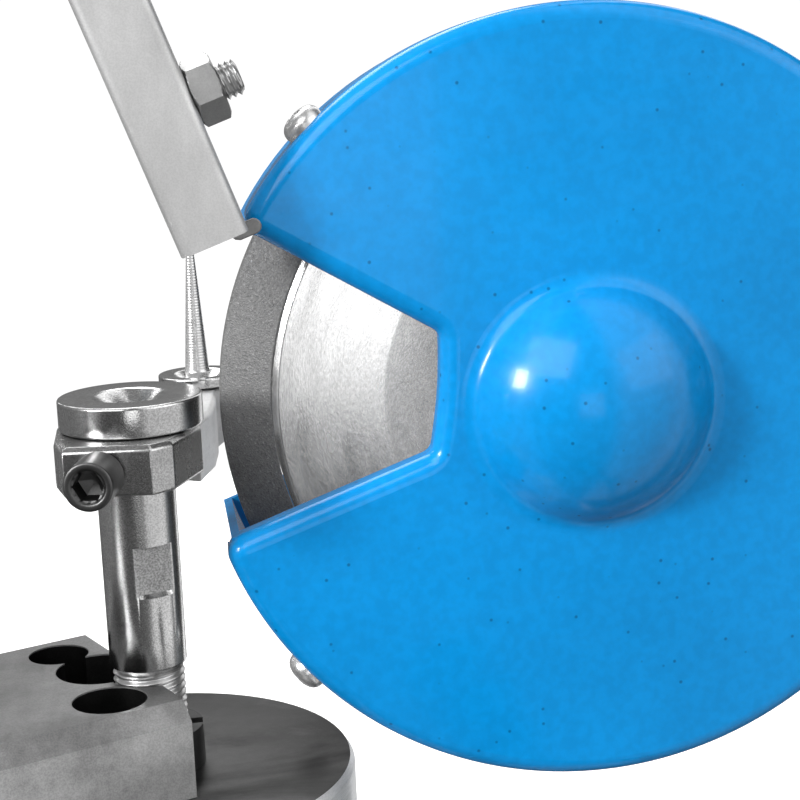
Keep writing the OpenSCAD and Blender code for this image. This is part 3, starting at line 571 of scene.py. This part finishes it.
BEVEL_MM = {
    0.25: ["lock_collar", "spindle_nut", "block_screws", "column_screws", "bracket_screws"],
    0.4: ["holed_block", "wheel_flanges", "feed_rack", "rail_stop", "tilt_bolt", "start_button",
          "stop_button", "cable_gland", "centring_cone", "slider_knob", "cone_nut", "arm_pivot_bolt"],
    0.8: ["blade_rail", "cross_clamp", "arm_bracket", "blade_slider", "feed_lever", "switch_box",
          "capacitor_box"],
    1.5: ["carriage", "head_bracket", "tilt_plate", "motor_housing", "front_bell", "rear_bell",
          "fan_cover"],
}


def add_bevel(piece, width, segments=3, degrees=40):
    """Rounds the edges that are sharper than the angle. The width is in mm."""
    bevel = piece.modifiers.new("soft_edges", "BEVEL")
    bevel.width = width * MM
    bevel.segments = segments
    bevel.limit_method = "ANGLE"
    bevel.angle_limit = math.radians(degrees)


def soften_edges():
    """Small bevels on the CAD pieces that keep their own mesh."""
    for width, names in BEVEL_MM.items():
        for name in names:
            add_bevel(frame["nodes"][name], width)


# ---- mesh helpers ----

STEPS = 128


def smooth_by_angle(bm, degrees):
    """Smooth faces, with the edges sharper than the angle kept sharp."""
    limit = math.radians(degrees)
    for face in bm.faces:
        face.smooth = True
    for edge in bm.edges:
        edge.smooth = len(edge.link_faces) == 2 and edge.calc_face_angle(0.0) < limit


def add_piece(name, bm, look, body, slot, nodes=(), sharp_degrees=38, place=None):
    """Turns a bmesh, in metres, into a finished piece on a body that stands for the named nodes."""
    bmesh.ops.recalc_face_normals(bm, faces=bm.faces)
    smooth_by_angle(bm, sharp_degrees)
    mesh = bpy.data.meshes.new(name)
    bm.to_mesh(mesh)
    bm.free()
    piece = bpy.data.objects.new(name, mesh)
    bpy.context.scene.collection.objects.link(piece)
    if place is not None:
        mesh.transform(place)
    mesh.materials.append(LOOKS[look])
    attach(piece, body)
    if nodes:
        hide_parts(*nodes)
    return piece


def skin(bm, loops, cap_start=False, cap_end=False, join_ends=False):
    """Bridges loops of points, given in mm, with quads. Returns the vertex loops."""
    rows = [[bm.verts.new(Vector(p) * MM) for p in loop] for loop in loops]
    pairs = list(zip(rows, rows[1:]))
    if join_ends:
        pairs.append((rows[-1], rows[0]))
    for lower, upper in pairs:
        count = len(lower)
        for i in range(count):
            j = (i + 1) % count
            bm.faces.new((lower[i], lower[j], upper[j], upper[i]))
    if cap_start:
        bm.faces.new(list(reversed(rows[0])))
    if cap_end:
        bm.faces.new(rows[-1])
    return rows


def lathe(bm, rows, steps=STEPS, caps=(True, True), ring=False):
    """Rows of (height, radius in mm, or a function of the angle), turned about the local Z axis."""
    loops = []
    for height, radius in rows:
        loop = []
        for i in range(steps):
            angle = 2 * math.pi * i / steps
            r = radius(angle) if callable(radius) else radius
            loop.append((r * math.cos(angle), r * math.sin(angle), height))
        loops.append(loop)
    return skin(bm, loops, cap_start=caps[0] and not ring, cap_end=caps[1] and not ring, join_ends=ring)


def turned_piece(name, rows, look, body, slot, nodes=(), steps=STEPS, ring=False, **finish):
    """A lathed piece, finished by add_piece."""
    bm = bmesh.new()
    lathe(bm, rows, steps=steps, ring=ring)
    return add_piece(name, bm, look, body, slot, nodes, **finish)


def rounded_profile(points, radius, steps=4, closed=False):
    """A polyline of (height, radius) points with each corner rounded off."""
    out = []
    count = len(points)
    for i, point in enumerate(points):
        here = Vector(point)
        if not closed and i in (0, count - 1):
            out.append(tuple(here))
            continue
        before = Vector(points[i - 1]) - here
        after = Vector(points[(i + 1) % count]) - here
        reach = min(radius, before.length * 0.45, after.length * 0.45)
        start, end = here + before.normalized() * reach, here + after.normalized() * reach
        for k in range(steps + 1):
            t = k / steps
            out.append(tuple(start * (1 - t) ** 2 + here * 2 * t * (1 - t) + end * t ** 2))
    return out


def along(origin, direction, twist=0.0):
    """A matrix that sends the local Z axis along a direction from an origin in metres."""
    turn = Vector(direction).normalized().to_track_quat("Z", "Y").to_matrix().to_4x4()
    return Matrix.Translation(origin) @ turn @ Matrix.Rotation(twist, 4, "Z")


WHEEL_PLACE = along(HUB, (0, 1, 0))


def hexagon(across_flats, turn=0.0):
    """Radius of a hexagon as a function of the angle."""
    def radius(angle):
        part = (angle + turn) % (math.pi / 3) - math.pi / 6
        return across_flats / 2 / math.cos(part)
    return radius


def lesser(shape, limit):
    """The smaller of a radius function and a plain radius, as a radius function."""
    return lambda angle: min(shape(angle), limit)


def thread_rows(z0, z1, radius, pitch, depth):
    """Rows of a screw thread between two heights: a rounded V that climbs one pitch a turn."""
    def crest(z):
        def at(angle):
            phase = (z / pitch - angle / (2 * math.pi)) % 1.0
            wave = abs(2 * phase - 1.0)
            return radius - depth * min(1.0, max(0.0, 1.18 * wave - 0.05))
        return at
    count = max(4, int((z1 - z0) / pitch * 10))
    return [(z0 + (z1 - z0) * i / count, crest(z0 + (z1 - z0) * i / count)) for i in range(count + 1)]


# ---- base ----

BASE_TOP = 40.0             # mm, upper face of the base casting
DRAFT_FROM = 9.0            # mm, how far in front of the back wall the draft starts
DRAFT = 5.2                 # mm, how far the back wall leans forward at its top


def build_base():
    """The base casting, with a moulding draft on its back wall."""
    node = frame["nodes"]["base_casting"]
    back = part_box("base_casting")[1][1]
    bm = bmesh.new()
    bm.from_mesh(node.data)
    bmesh.ops.transform(bm, matrix=node.matrix_world, verts=bm.verts)
    for vert in bm.verts:
        lean = (vert.co.y - back) / (DRAFT_FROM * MM) + 1.0
        if lean > 0.0 and abs(vert.co.z - BASE_TOP * MM) < 0.1 * MM:
            vert.co.y -= DRAFT * MM * lean
    piece = add_piece("base_casting_drafted", bm, "casting", "base", "casting_paint", ["base_casting"])
    add_bevel(piece, 1.5)
    piece.visible_glossy = False


# ---- guard ----

# Sizes in mm. Points of the notch are (x, z) from the wheel's axis.
GUARD_R = 67.2
GUARD_EDGE = 3.0            # radius of the rolled edge
GUARD_SHEET = 1.3           # thickness of the pressing
HOLD = 0.12                 # strip beside each fold that holds its shading
RIM_DEPTH = 9.0             # depth of the flange round the rim
NOTCH_DEPTH = 6.0           # depth of the flange along the notch
NOTCH_TOP = Vector((-25.7, 13.5))
NOTCH_LOW = Vector((-27.7, -6.9))
NOTCH_TOP_RIM = Vector((-54.8, 31.0))
NOTCH_LOW_RIM = Vector((-61.6, -19.0))
NOTCH_CORNER = 2.2
NOTCH_BOW = 0.45            # how far the notch's inner edge bows out
RIM_CORNER = 3.4
DOME_R = 21.0
DOME_H = 12.0
DOME_FILLET = 3.8


def rim_corner(inner, rim, side):
    """Fillet between a notch edge and the round rim: centre, point on the edge and point on the rim."""
    way = (rim - inner).normalized()
    normal = Vector((-way.y, way.x)) * side
    start = inner + normal * RIM_CORNER
    b = start.dot(way)
    t = -b + math.sqrt(b * b - start.length_squared + (GUARD_R - RIM_CORNER) ** 2)
    centre = start + way * t
    return centre, centre - normal * RIM_CORNER, centre.normalized() * GUARD_R


def arc_points(centre, start, end, steps, long_way=False):
    """Points of an arc between two points: the short way round, or clockwise the long way."""
    a0 = math.atan2((start - centre).y, (start - centre).x)
    a1 = math.atan2((end - centre).y, (end - centre).x)
    turn = (a1 - a0 + math.pi) % (2 * math.pi) - math.pi
    if long_way:
        turn -= 2 * math.pi if turn > 0 else 0.0
    a1 = a0 + turn
    radius = (start - centre).length
    return [centre + Vector((math.cos(a), math.sin(a))) * radius
            for a in (a0 + (a1 - a0) * i / steps for i in range(steps + 1))]


def notch_corner(here, before, after):
    """Fillet of an inner corner of the notch."""
    to_before, to_after = (before - here).normalized(), (after - here).normalized()
    half = to_before.angle(to_after) / 2
    reach = NOTCH_CORNER / math.tan(half)
    centre = here + (to_before + to_after).normalized() * NOTCH_CORNER / math.sin(half)
    return arc_points(centre, here + to_before * reach, here + to_after * reach, 8)


def guard_outline():
    """The guard's silhouette, clockwise from the upper notch edge."""
    top_centre, top_edge, top_rim = rim_corner(NOTCH_TOP, NOTCH_TOP_RIM, -1)
    low_centre, low_edge, low_rim = rim_corner(NOTCH_LOW, NOTCH_LOW_RIM, 1)
    outline = arc_points(top_centre, top_edge, top_rim, 10)
    rim = arc_points(Vector((0, 0)), top_rim, low_rim, 220, True)
    outline += rim[1:]
    outline += arc_points(low_centre, low_rim, low_edge, 10)[1:]
    low_corner = notch_corner(NOTCH_LOW, NOTCH_LOW_RIM, NOTCH_TOP)
    top_corner = notch_corner(NOTCH_TOP, NOTCH_LOW, NOTCH_TOP_RIM)
    low_corner.sort(key=lambda p: (p - low_edge).length)
    top_corner.sort(key=lambda p: (p - low_corner[-1]).length)
    steps = 20
    outline += [low_edge.lerp(low_corner[0], i / steps) for i in range(1, steps)]
    outline += low_corner
    for i in range(1, 8):
        bow = Vector((NOTCH_BOW * math.sin(math.pi * i / 8), 0))
        outline.append(low_corner[-1].lerp(top_corner[0], i / 8) + bow)
    outline += top_corner
    outline += [top_corner[-1].lerp(top_edge, i / steps) for i in range(1, steps)]
    return outline


def inward_normals(outline):
    """Unit normals of a clockwise outline, which point into the guard's face."""
    count = len(outline)
    normals = []
    for i in range(count):
        tangent = (outline[(i + 1) % count] - outline[i - 1]).normalized()
        normals.append(Vector((tangent.y, -tangent.x)))
    return normals


def dome_profile():
    """(radius, height) from the flat face up to the crown, with a hollow fillet at the foot."""
    ball = (DOME_R ** 2 + DOME_H ** 2) / (2 * DOME_H)
    centre = DOME_H - ball
    foot_r = math.sqrt((ball + DOME_FILLET) ** 2 - (DOME_FILLET - centre) ** 2)
    touch = math.atan2(foot_r, DOME_FILLET - centre)
    points = []
    for i in range(9):
        a = touch * i / 8
        points.append((foot_r - DOME_FILLET * math.sin(a), DOME_FILLET * (1 - math.cos(a))))
    for i in range(1, 24):
        a = touch * (1 - i / 24)
        points.append((ball * math.sin(a), centre + ball * math.cos(a)))
    return points


def rolled_edge(outline):
    """Loops of points round the guard's edge, from the inner face over the flange to the outer face."""
    normals = inward_normals(outline)

    def loop(inset, depth):
        return [(p.x + n.x * inset, depth, p.y + n.y * inset) for p, n in zip(outline, normals)]

    def flange(inset):
        points = []
        for p, n in zip(outline, normals):
            depth = RIM_DEPTH if p.length > GUARD_R - 0.6 else NOTCH_DEPTH
            points.append((p.x + n.x * inset, depth, p.y + n.y * inset))
        return points

    quarter = [math.pi / 2 * k / 8 for k in range(9)]
    inner = GUARD_EDGE - GUARD_SHEET
    loops = [loop(GUARD_EDGE + HOLD, GUARD_SHEET)]
    for a in reversed(quarter):
        inset, depth = inner * (1 - math.cos(a)), inner * (1 - math.sin(a))
        loops.append(loop(GUARD_SHEET + inset, GUARD_SHEET + depth))
    loops += [flange(GUARD_SHEET), flange(GUARD_SHEET - 0.25), flange(0.2), loop(0, GUARD_EDGE)]
    for a in quarter[1:]:
        loops.append(loop(GUARD_EDGE * (1 - math.cos(a)), GUARD_EDGE * (1 - math.sin(a))))
    loops.append(loop(GUARD_EDGE + HOLD, 0))
    return loops


def dome_rows(rings, face_y):
    """Rings of (radius, height) as rows of points in front of a face."""
    turns = [2 * math.pi * i / STEPS for i in range(STEPS)]
    return [[(r * math.cos(a), face_y - h, r * math.sin(a)) for a in turns] for r, h in rings]


def fill_face(bm, outer, inner):
    """Fills the flat face between two rings of vertices."""
    edges = []
    for ring in (outer, inner):
        for i in range(len(ring)):
            edges.append(bm.edges.get((ring[i], ring[(i + 1) % len(ring)])))
    bmesh.ops.triangle_fill(bm, use_beauty=True, use_dissolve=False, edges=edges)


def build_guard_cover():
    """The pressed cover, as one closed skin: rolled edge, flat face and dome, inside and out."""
    bm = bmesh.new()
    rows = skin(bm, rolled_edge(guard_outline()))
    profile = dome_profile()
    outside = [(profile[0][0] + HOLD, 0.0)] + profile
    inside = [(r - GUARD_SHEET * 0.6 if i > 8 else r, h) for i, (r, h) in enumerate(outside)]
    for row, face_y, rings in ((rows[-1], 0.0, outside), (rows[0], GUARD_SHEET, inside)):
        dome = skin(bm, dome_rows(rings, face_y))
        crown = bm.verts.new(Vector((0, face_y - DOME_H, 0)) * MM)
        for i in range(STEPS):
            bm.faces.new((dome[-1][i], dome[-1][(i + 1) % STEPS], crown))
        fill_face(bm, row, dome[0])
    piece = add_piece("guard_cover_pressing", bm, "blue", "head", "blue_enamel", ["guard_cover"],
                      sharp_degrees=50, place=Matrix.Translation(HUB))
    weighted = piece.modifiers.new("even_normals", "WEIGHTED_NORMAL")
    weighted.keep_sharp = True
    piece.visible_glossy = False


# ---- wheel ----

def build_wheel():
    """The abrasive rim and the turned dish, from (depth behind the guard's face, radius) profiles."""
    rim = [(18.6, 62.5), (13.72, 53.9), (16.6, 53.9), (21.5, 60.5), (21.5, 62.5)]
    rim = rounded_profile(rim, 0.35, closed=True)
    band = turned_piece("abrasive_rim_band", rim, "grit", "spindle", "abrasive", ["abrasive_rim"],
                        steps=192, ring=True, place=WHEEL_PLACE)
    band.visible_glossy = False
    dish = [(14.1, 53.8), (13.35, LIP_R), (DISH_DEPTH, HUB_R), (DISH_DEPTH, 10.0)]
    dish += [(20.5, 10.0), (20.5, HUB_R), (21.0, 53.75)]
    dish = rounded_profile(dish, 0.15, closed=True)
    body = turned_piece("wheel_dish_body", dish, "dish", "spindle", "wheel_alloy", ["wheel_dish"],
                        steps=192, ring=True, place=WHEEL_PLACE, sharp_degrees=60)
    body.visible_glossy = False


# ---- work column: rings, pin, clamp arm, cap screw, post and stud ----

# Sizes in mm. The work column's own frame stands on the post's axis, level with the wheel's axis.
COLUMN_OFF = -77.8
COLUMN_PLACE = Matrix.Translation(HUB + Vector((COLUMN_OFF, 0, 0)) * MM)
STOP_AT = (12.4, 33.0)      # the small ring, from the post's axis
FLAT_TURN = math.radians(-90 + 21)
FLAT_DEPTH = 5.5
FLAT_LOW, FLAT_HIGH = -25.4, -17.4
POST_R = 6.45
STUD_R = 5.8


def on_column(x, y):
    """An upright frame at a place from the post's axis, in mm."""
    return COLUMN_PLACE @ Matrix.Translation(Vector((x, y, 0)) * MM)


PIN_FOOT_Z = 5.0
PIN_FOOT_R = 2.15
PIN_TAPER = 0.068           # radius lost per mm of height
PIN_RIDGE = 0.018           # height of its fine turning marks
PIN_PITCH = 0.5


def build_rest_rings():
    """The ring with its conical seat, the small ring on the reach and the tapered pin in it."""
    rest = [(1.9, 2.2), (1.9, 11.8), (7.0, 11.8), (7.0, 6.3), (4.3, 2.2)]
    turned_piece("rest_ring_turned", rounded_profile(rest, 0.5, closed=True), "polished", "rest_arm",
                 "polished_steel", ["rest_ring"], ring=True, place=COLUMN_PLACE)
    stop = [(1.9, 0.0), (1.9, 5.0), (2.3, 7.5), (4.0, 7.5), (4.0, 5.0), (2.6, 3.2), (2.6, 0.0)]
    turned_piece("stop_ring_turned", rounded_profile(stop, 0.3)[1:-1], "polished", "rest_arm",
                 "polished_steel", ["stop_ring"], place=on_column(*STOP_AT))
    pin = [(2.6, 2.2), (4.0, 2.2), (4.4, 2.35), (PIN_FOOT_Z, PIN_FOOT_R)]
    for i in range(1, 241):
        rise = i * 0.1
        ridge = PIN_RIDGE * math.sin(2 * math.pi * rise / PIN_PITCH)
        pin.append((PIN_FOOT_Z + rise, PIN_FOOT_R - PIN_TAPER * rise + ridge))
    pin += [(31.5, 0.5), (33.0, 0.42), (33.4, 0.2)]
    turned_piece("stop_pin_turned", pin, "pin_steel", "rest_arm", "polished_steel", ["stop_pin"],
                 steps=56, place=on_column(STOP_AT[0] - 0.4, STOP_AT[1]))


def inset_outline(points, distance):
    """Moves each edge of a counter-clockwise outline inwards, with mitred corners."""
    count = len(points)
    out = []
    for i in range(count):
        a, b, c = (Vector(points[j % count]) for j in (i - 1, i, i + 1))
        n1 = Vector((-(b - a).y, (b - a).x)).normalized()
        n2 = Vector((-(c - b).y, (c - b).x)).normalized()
        both = (n1 + n2).normalized()
        out.append(b + both * distance / max(0.35, both.dot(n1)))
    return out


def prism(bm, outline, z0, z1, low, high):
    """An upright prism with chamfers of the given sizes at its foot and top."""
    levels = [(z0, low), (z0 + low, 0.0), (z1 - high, 0.0), (z1, high)]
    loops = [[(p.x, p.y, z) for p in inset_outline(outline, inset)] for z, inset in levels]
    skin(bm, loops, cap_start=True, cap_end=True)


# Plan outlines of the clamp arm's faceted head and of its reach to the small ring, in mm.
ARM_HEAD = [
    (-12.4, -7.5), (-10.9, -14.3), (2.9, -16.2), (6.4, -13.6), (11.2, -2.5),
    (11.2, 6.0), (8.5, 9.5), (-9.0, 9.5), (-12.4, 5.0),
]
ARM_REACH = [
    (7.6, 1.0), (10.8, -1.0), (13.6, 9.0), (14.5, 18.0), (14.7, 24.0), (16.9, 30.5),
    (17.0, 34.0), (14.5, 37.6), (11.0, 38.0), (8.0, 36.0), (7.2, 32.0), (6.0, 20.0),
]


def build_clamp_arm():
    """The faceted head round the post and its reach to the small ring."""
    bm = bmesh.new()
    prism(bm, ARM_HEAD, -6.3, 1.8, 0.35, 0.8)
    piece = add_piece("clamp_arm_head", bm, "brushed", "rest_arm", "ground_steel", ["clamp_arm"],
                      sharp_degrees=20, place=COLUMN_PLACE)
    add_bevel(piece, 0.22, 2, 15)
    bm = bmesh.new()
    prism(bm, ARM_REACH, -8.4, 1.8, 0.4, 0.6)
    piece = add_piece("clamp_arm_reach", bm, "pale_steel", "rest_arm", "ground_steel",
                      sharp_degrees=28, place=COLUMN_PLACE)
    add_bevel(piece, 0.25, 2, 15)


SCREW_LEAN = math.radians(13)   # the cap screw stands a little off square


def build_clamp_screw():
    """Socket cap screw: the local Z axis runs out of the arm towards the user."""
    head_r, head_h, socket_depth, socket_af = 3.9, 7.6, 4.2, 4.4
    head = [(-0.2, 3.3), (0.0, head_r), (head_h, head_r), (head_h, 2.85), (head_h - 0.5, 2.5)]
    rows = rounded_profile(head, 0.55)
    socket = hexagon(socket_af)
    floor_z = head_h - socket_depth
    rows += [(head_h - 0.55, socket), (floor_z, socket), (floor_z - 0.9, 0.6)]
    out = Vector((-math.sin(SCREW_LEAN), -math.cos(SCREW_LEAN), 0))
    origin = HUB + Vector((COLUMN_OFF - 5.2, -15.7, -2.55)) * MM
    turned_piece("clamp_screw_head", rows, "black_oxide", "rest_arm", "black_oxide", ["clamp_screw"],
                 steps=96, sharp_degrees=45, place=along(origin, out))


def flat_cut(angle):
    """Radius of the post where its two spanner flats are milled."""
    side = math.cos(angle - FLAT_TURN)
    reach = FLAT_DEPTH / abs(side) if abs(side) > 0.2 else POST_R
    return min(POST_R, reach)


def build_post():
    """The polished post with its milled spanner flats, over the threaded stud."""
    body = [(-39.5, POST_R - 1.0), (-38.6, POST_R - 0.1), (-38.3, POST_R), (FLAT_LOW - 0.6, POST_R)]
    body += [(FLAT_LOW, flat_cut), (FLAT_HIGH, flat_cut), (FLAT_HIGH + 0.05, POST_R)]
    body += [(-7.0, POST_R), (1.7, POST_R)]
    piece = turned_piece("post_body", body, "post_steel", "base", "polished_steel", ["post"],
                         steps=192, place=COLUMN_PLACE, sharp_degrees=25)
    piece.data.materials.append(LOOKS["milled_flat"])
    axis = COLUMN_PLACE.translation
    for face in piece.data.polygons:
        from_axis = face.center - axis
        low_enough = FLAT_LOW - 0.1 < from_axis.z / MM < FLAT_HIGH + 0.1
        if low_enough and from_axis.xy.length < (POST_R - 0.08) * MM:
            face.material_index = 1
    thread = thread_rows(-56.9, -39.6, STUD_R + 0.2, 1.25, 0.6)
    stud = [(-60, STUD_R - 0.6)] + thread + [(-39.4, STUD_R - 0.9)]
    turned_piece("post_stud", stud, "thread_steel", "base", "polished_steel",
                 steps=64, place=COLUMN_PLACE, sharp_degrees=70)


def build_column():
    """The round column with its foot, and its blackened top face."""
    top = -57.0
    side = rounded_profile([(-160, 33.9), (top - 1.2, 33.9), (top, 33.1)], 0.25)
    foot = rounded_profile([(-160, 45.0), (-150.2, 45.0), (-150, 34.5), (-150, 33.0)], 1.2)
    bm = bmesh.new()
    lathe(bm, side, steps=160, caps=(False, False))
    lathe(bm, foot, steps=160, caps=(True, False))
    add_piece("column_side", bm, "bright_side", "base", "ground_steel", ["column"],
              place=COLUMN_PLACE, sharp_degrees=30)
    bm = bmesh.new()
    face = [(top, 33.12), (top + 0.02, 32.9), (top + 0.02, 8.0)]
    lathe(bm, face, steps=160, caps=(False, True))
    add_piece("column_top_face", bm, "column_top", "base", "ground_steel",
              place=COLUMN_PLACE, sharp_degrees=30)


# ---- index arm ----

# Sizes in mm. The bar's own frame: X across it, Y to the back, Z up along it from its lower end.
BAR_END = Vector((-62.6, -8.0, 31.4))
BAR_LEAN = math.radians(-19.9)
BAR_PLACE = Matrix.Translation(HUB + BAR_END * MM) @ Matrix.Rotation(BAR_LEAN, 4, "Y")
BAR_W, BAR_DEPTH, BAR_LEN, BAR_SHEET = 11.6, 11.0, 94.0, 1.4
BOLT_Y, BOLT_Z = 5.6, 22.6
BAR_NOTCH = 3.4             # how much shorter the right flange is at the lower end


def channel_section(bend):
    """The channel's outline, clockwise seen from its upper end, with bend radii at the two folds."""
    half, deep, sheet = BAR_W / 2, BAR_DEPTH, BAR_SHEET
    outer = [(-half, deep), (-half, 0), (half, 0), (half, deep)]
    inner = [(half - sheet, deep), (half - sheet, sheet), (-half + sheet, sheet), (-half + sheet, deep)]
    folded = rounded_profile(outer, bend, 8)
    return folded + rounded_profile(inner, max(0.3, bend - sheet), 8)


def build_channel_bar():
    """The folded channel, with its right flange notched at the lower end for the pawl."""
    section = channel_section(1.9)

    def loop(z, notch=0.0, width=1.0):
        points = []
        for x, y in section:
            in_right_flange = x > 3.9 and y > BAR_SHEET - 0.01
            points.append((x * width, y, z + notch if in_right_flange else z))
        return points

    bm = bmesh.new()
    loops = [loop(0.0, BAR_NOTCH, 0.985), loop(0.18, BAR_NOTCH), loop(BAR_LEN * 0.5)]
    loops += [loop(BAR_LEN - 0.2), loop(BAR_LEN, 0.0, 0.985)]
    skin(bm, loops, cap_start=True, cap_end=True)
    add_piece("channel_bar_folded", bm, "zinc", "index_arm", "zinc_sheet", ["channel_bar"],
              sharp_degrees=28, place=BAR_PLACE)


def across_bar(x):
    """A frame on the pawl's pivot whose Z axis runs across the bar, from a place across it in mm."""
    return Matrix.Translation(Vector((x, BOLT_Y, BOLT_Z)) * MM) @ Matrix.Rotation(math.pi / 2, 4, "Y")


def build_pawl_stud():
    """The chamfered hexagon nut on the bar's edge and the threaded stud through it."""
    place = BAR_PLACE @ across_bar(BAR_W / 2)
    across_flats = 9.8
    nut = hexagon(across_flats, math.radians(12))
    foot, high, rise, chamfer_r = 0.05, 4.9, 0.55, across_flats / 2 * 0.97
    spread = rise * 1.9
    rows = [(foot, 2.9), (foot, chamfer_r)]
    quarters = (0.25, 0.5, 0.75, 1.0)
    rows += [(foot + rise * t, lesser(nut, chamfer_r + spread * t)) for t in quarters]
    rows += [(high - rise * t, lesser(nut, chamfer_r + spread * t)) for t in (*quarters[::-1], 0.0)]
    rows += [(high, 3.35), (high - 0.4, 2.95)]
    turned_piece("pawl_nut_hex", rows, "nut_zinc", "index_arm", "zinc_sheet", ["pawl_nut"],
                 steps=120, sharp_degrees=24, place=place)
    stud = [(-BAR_W - 0.02, 2.7)] + thread_rows(-2.0, 7.9, 2.98, 1.0, 0.55)
    stud += [(8.2, 2.35), (8.35, 1.9)]
    turned_piece("pawl_stud", stud, "thread_steel", "index_arm", "zinc_sheet", ["pawl_bolt"],
                 steps=64, sharp_degrees=70, place=place)


TOE_R = 1.25


def build_pawl():
    """The pawl strip inside the channel: a knuckle on the stud and a rounded toe past the bar's end."""
    bm = bmesh.new()
    knuckle = [(-3.7, 3.0), (-3.7, 3.9), (3.7, 3.9), (3.7, 3.0)]
    lathe(bm, rounded_profile(knuckle, 0.4, closed=True), steps=48, ring=True)
    bmesh.ops.transform(bm, matrix=across_bar(0), verts=bm.verts)
    strip = [(-3.7, 20.0), (-3.7, 1.6), (-3.0, 0.4), (2.6, 0.2), (3.2, -1.0), (4.0, -1.4), (6.6, -1.4)]
    for i in range(6):
        a = -1.2 + 0.5 * i
        strip.append((6.8 + TOE_R * math.cos(a), -0.15 + TOE_R * math.sin(a)))
    strip += [(4.2, 1.1), (3.8, 1.8), (3.7, 20.0)]
    loops = []
    for y, inset in ((-0.65, 0.2), (-0.45, 0.0), (0.45, 0.0), (0.65, 0.2)):
        loops.append([(p.x, BOLT_Y + y, p.y) for p in inset_outline(strip, inset)])
    skin(bm, loops, cap_start=True, cap_end=True)
    add_piece("pawl_strip", bm, "spring_steel", "pawl", "zinc_sheet", ["pawl"],
              sharp_degrees=30, place=BAR_PLACE)


# ---- rim screws ----

SCREW_AT_DEGREES = (133.6, 221.5, 0.0)
SCREW_R = 3.62
SCREW_CROWN = 2.2


def pan_head():
    """A lathed pan head about Z, with a cross sunk into its crown."""
    rows = [(-0.3, 3.5), (0.5, SCREW_R)]
    for i in range(1, 10):
        a = math.pi / 2 * i / 10
        rows.append((0.5 + SCREW_CROWN * math.sin(a), SCREW_R * math.cos(a) ** 0.7))
    rows.append((2.72, 0.35))
    bm = bmesh.new()
    for row in lathe(bm, rows, steps=64):
        for vert in row:
            across = min(abs(vert.co.x), abs(vert.co.y))
            reach = max(abs(vert.co.x), abs(vert.co.y))
            if across < 0.42 * MM and reach < 1.9 * MM and vert.co.z > 1.6 * MM:
                vert.co.z -= 0.9 * MM
    return bm


def build_cover_screws():
    """Pan-head screws on the guard's rim, each with a cross recess."""
    for index, degrees in enumerate(SCREW_AT_DEGREES):
        a = math.radians(degrees)
        out = Vector((math.cos(a), 0, math.sin(a)))
        origin = HUB + Vector((0, 6.0, 0)) * MM + out * GUARD_R * MM
        bm = pan_head()
        stands_for = ["cover_screws"] if index == 0 else ()
        add_piece(f"cover_screw_{index + 1}", bm, "screw_zinc", "head", "polished_steel", stands_for,
                  sharp_degrees=45, place=along(origin, out, 0.5))


make_camera()
make_world()
make_lights()
make_floor()
LOOKS = make_materials()
paint_nodes(LOOKS)
soften_edges()
hide_from_gloss()
build_base()
build_guard_cover()
build_wheel()
build_rest_rings()
build_clamp_arm()
build_clamp_screw()
build_post()
build_column()
build_channel_bar()
build_pawl_stud()
build_pawl()
build_cover_screws()
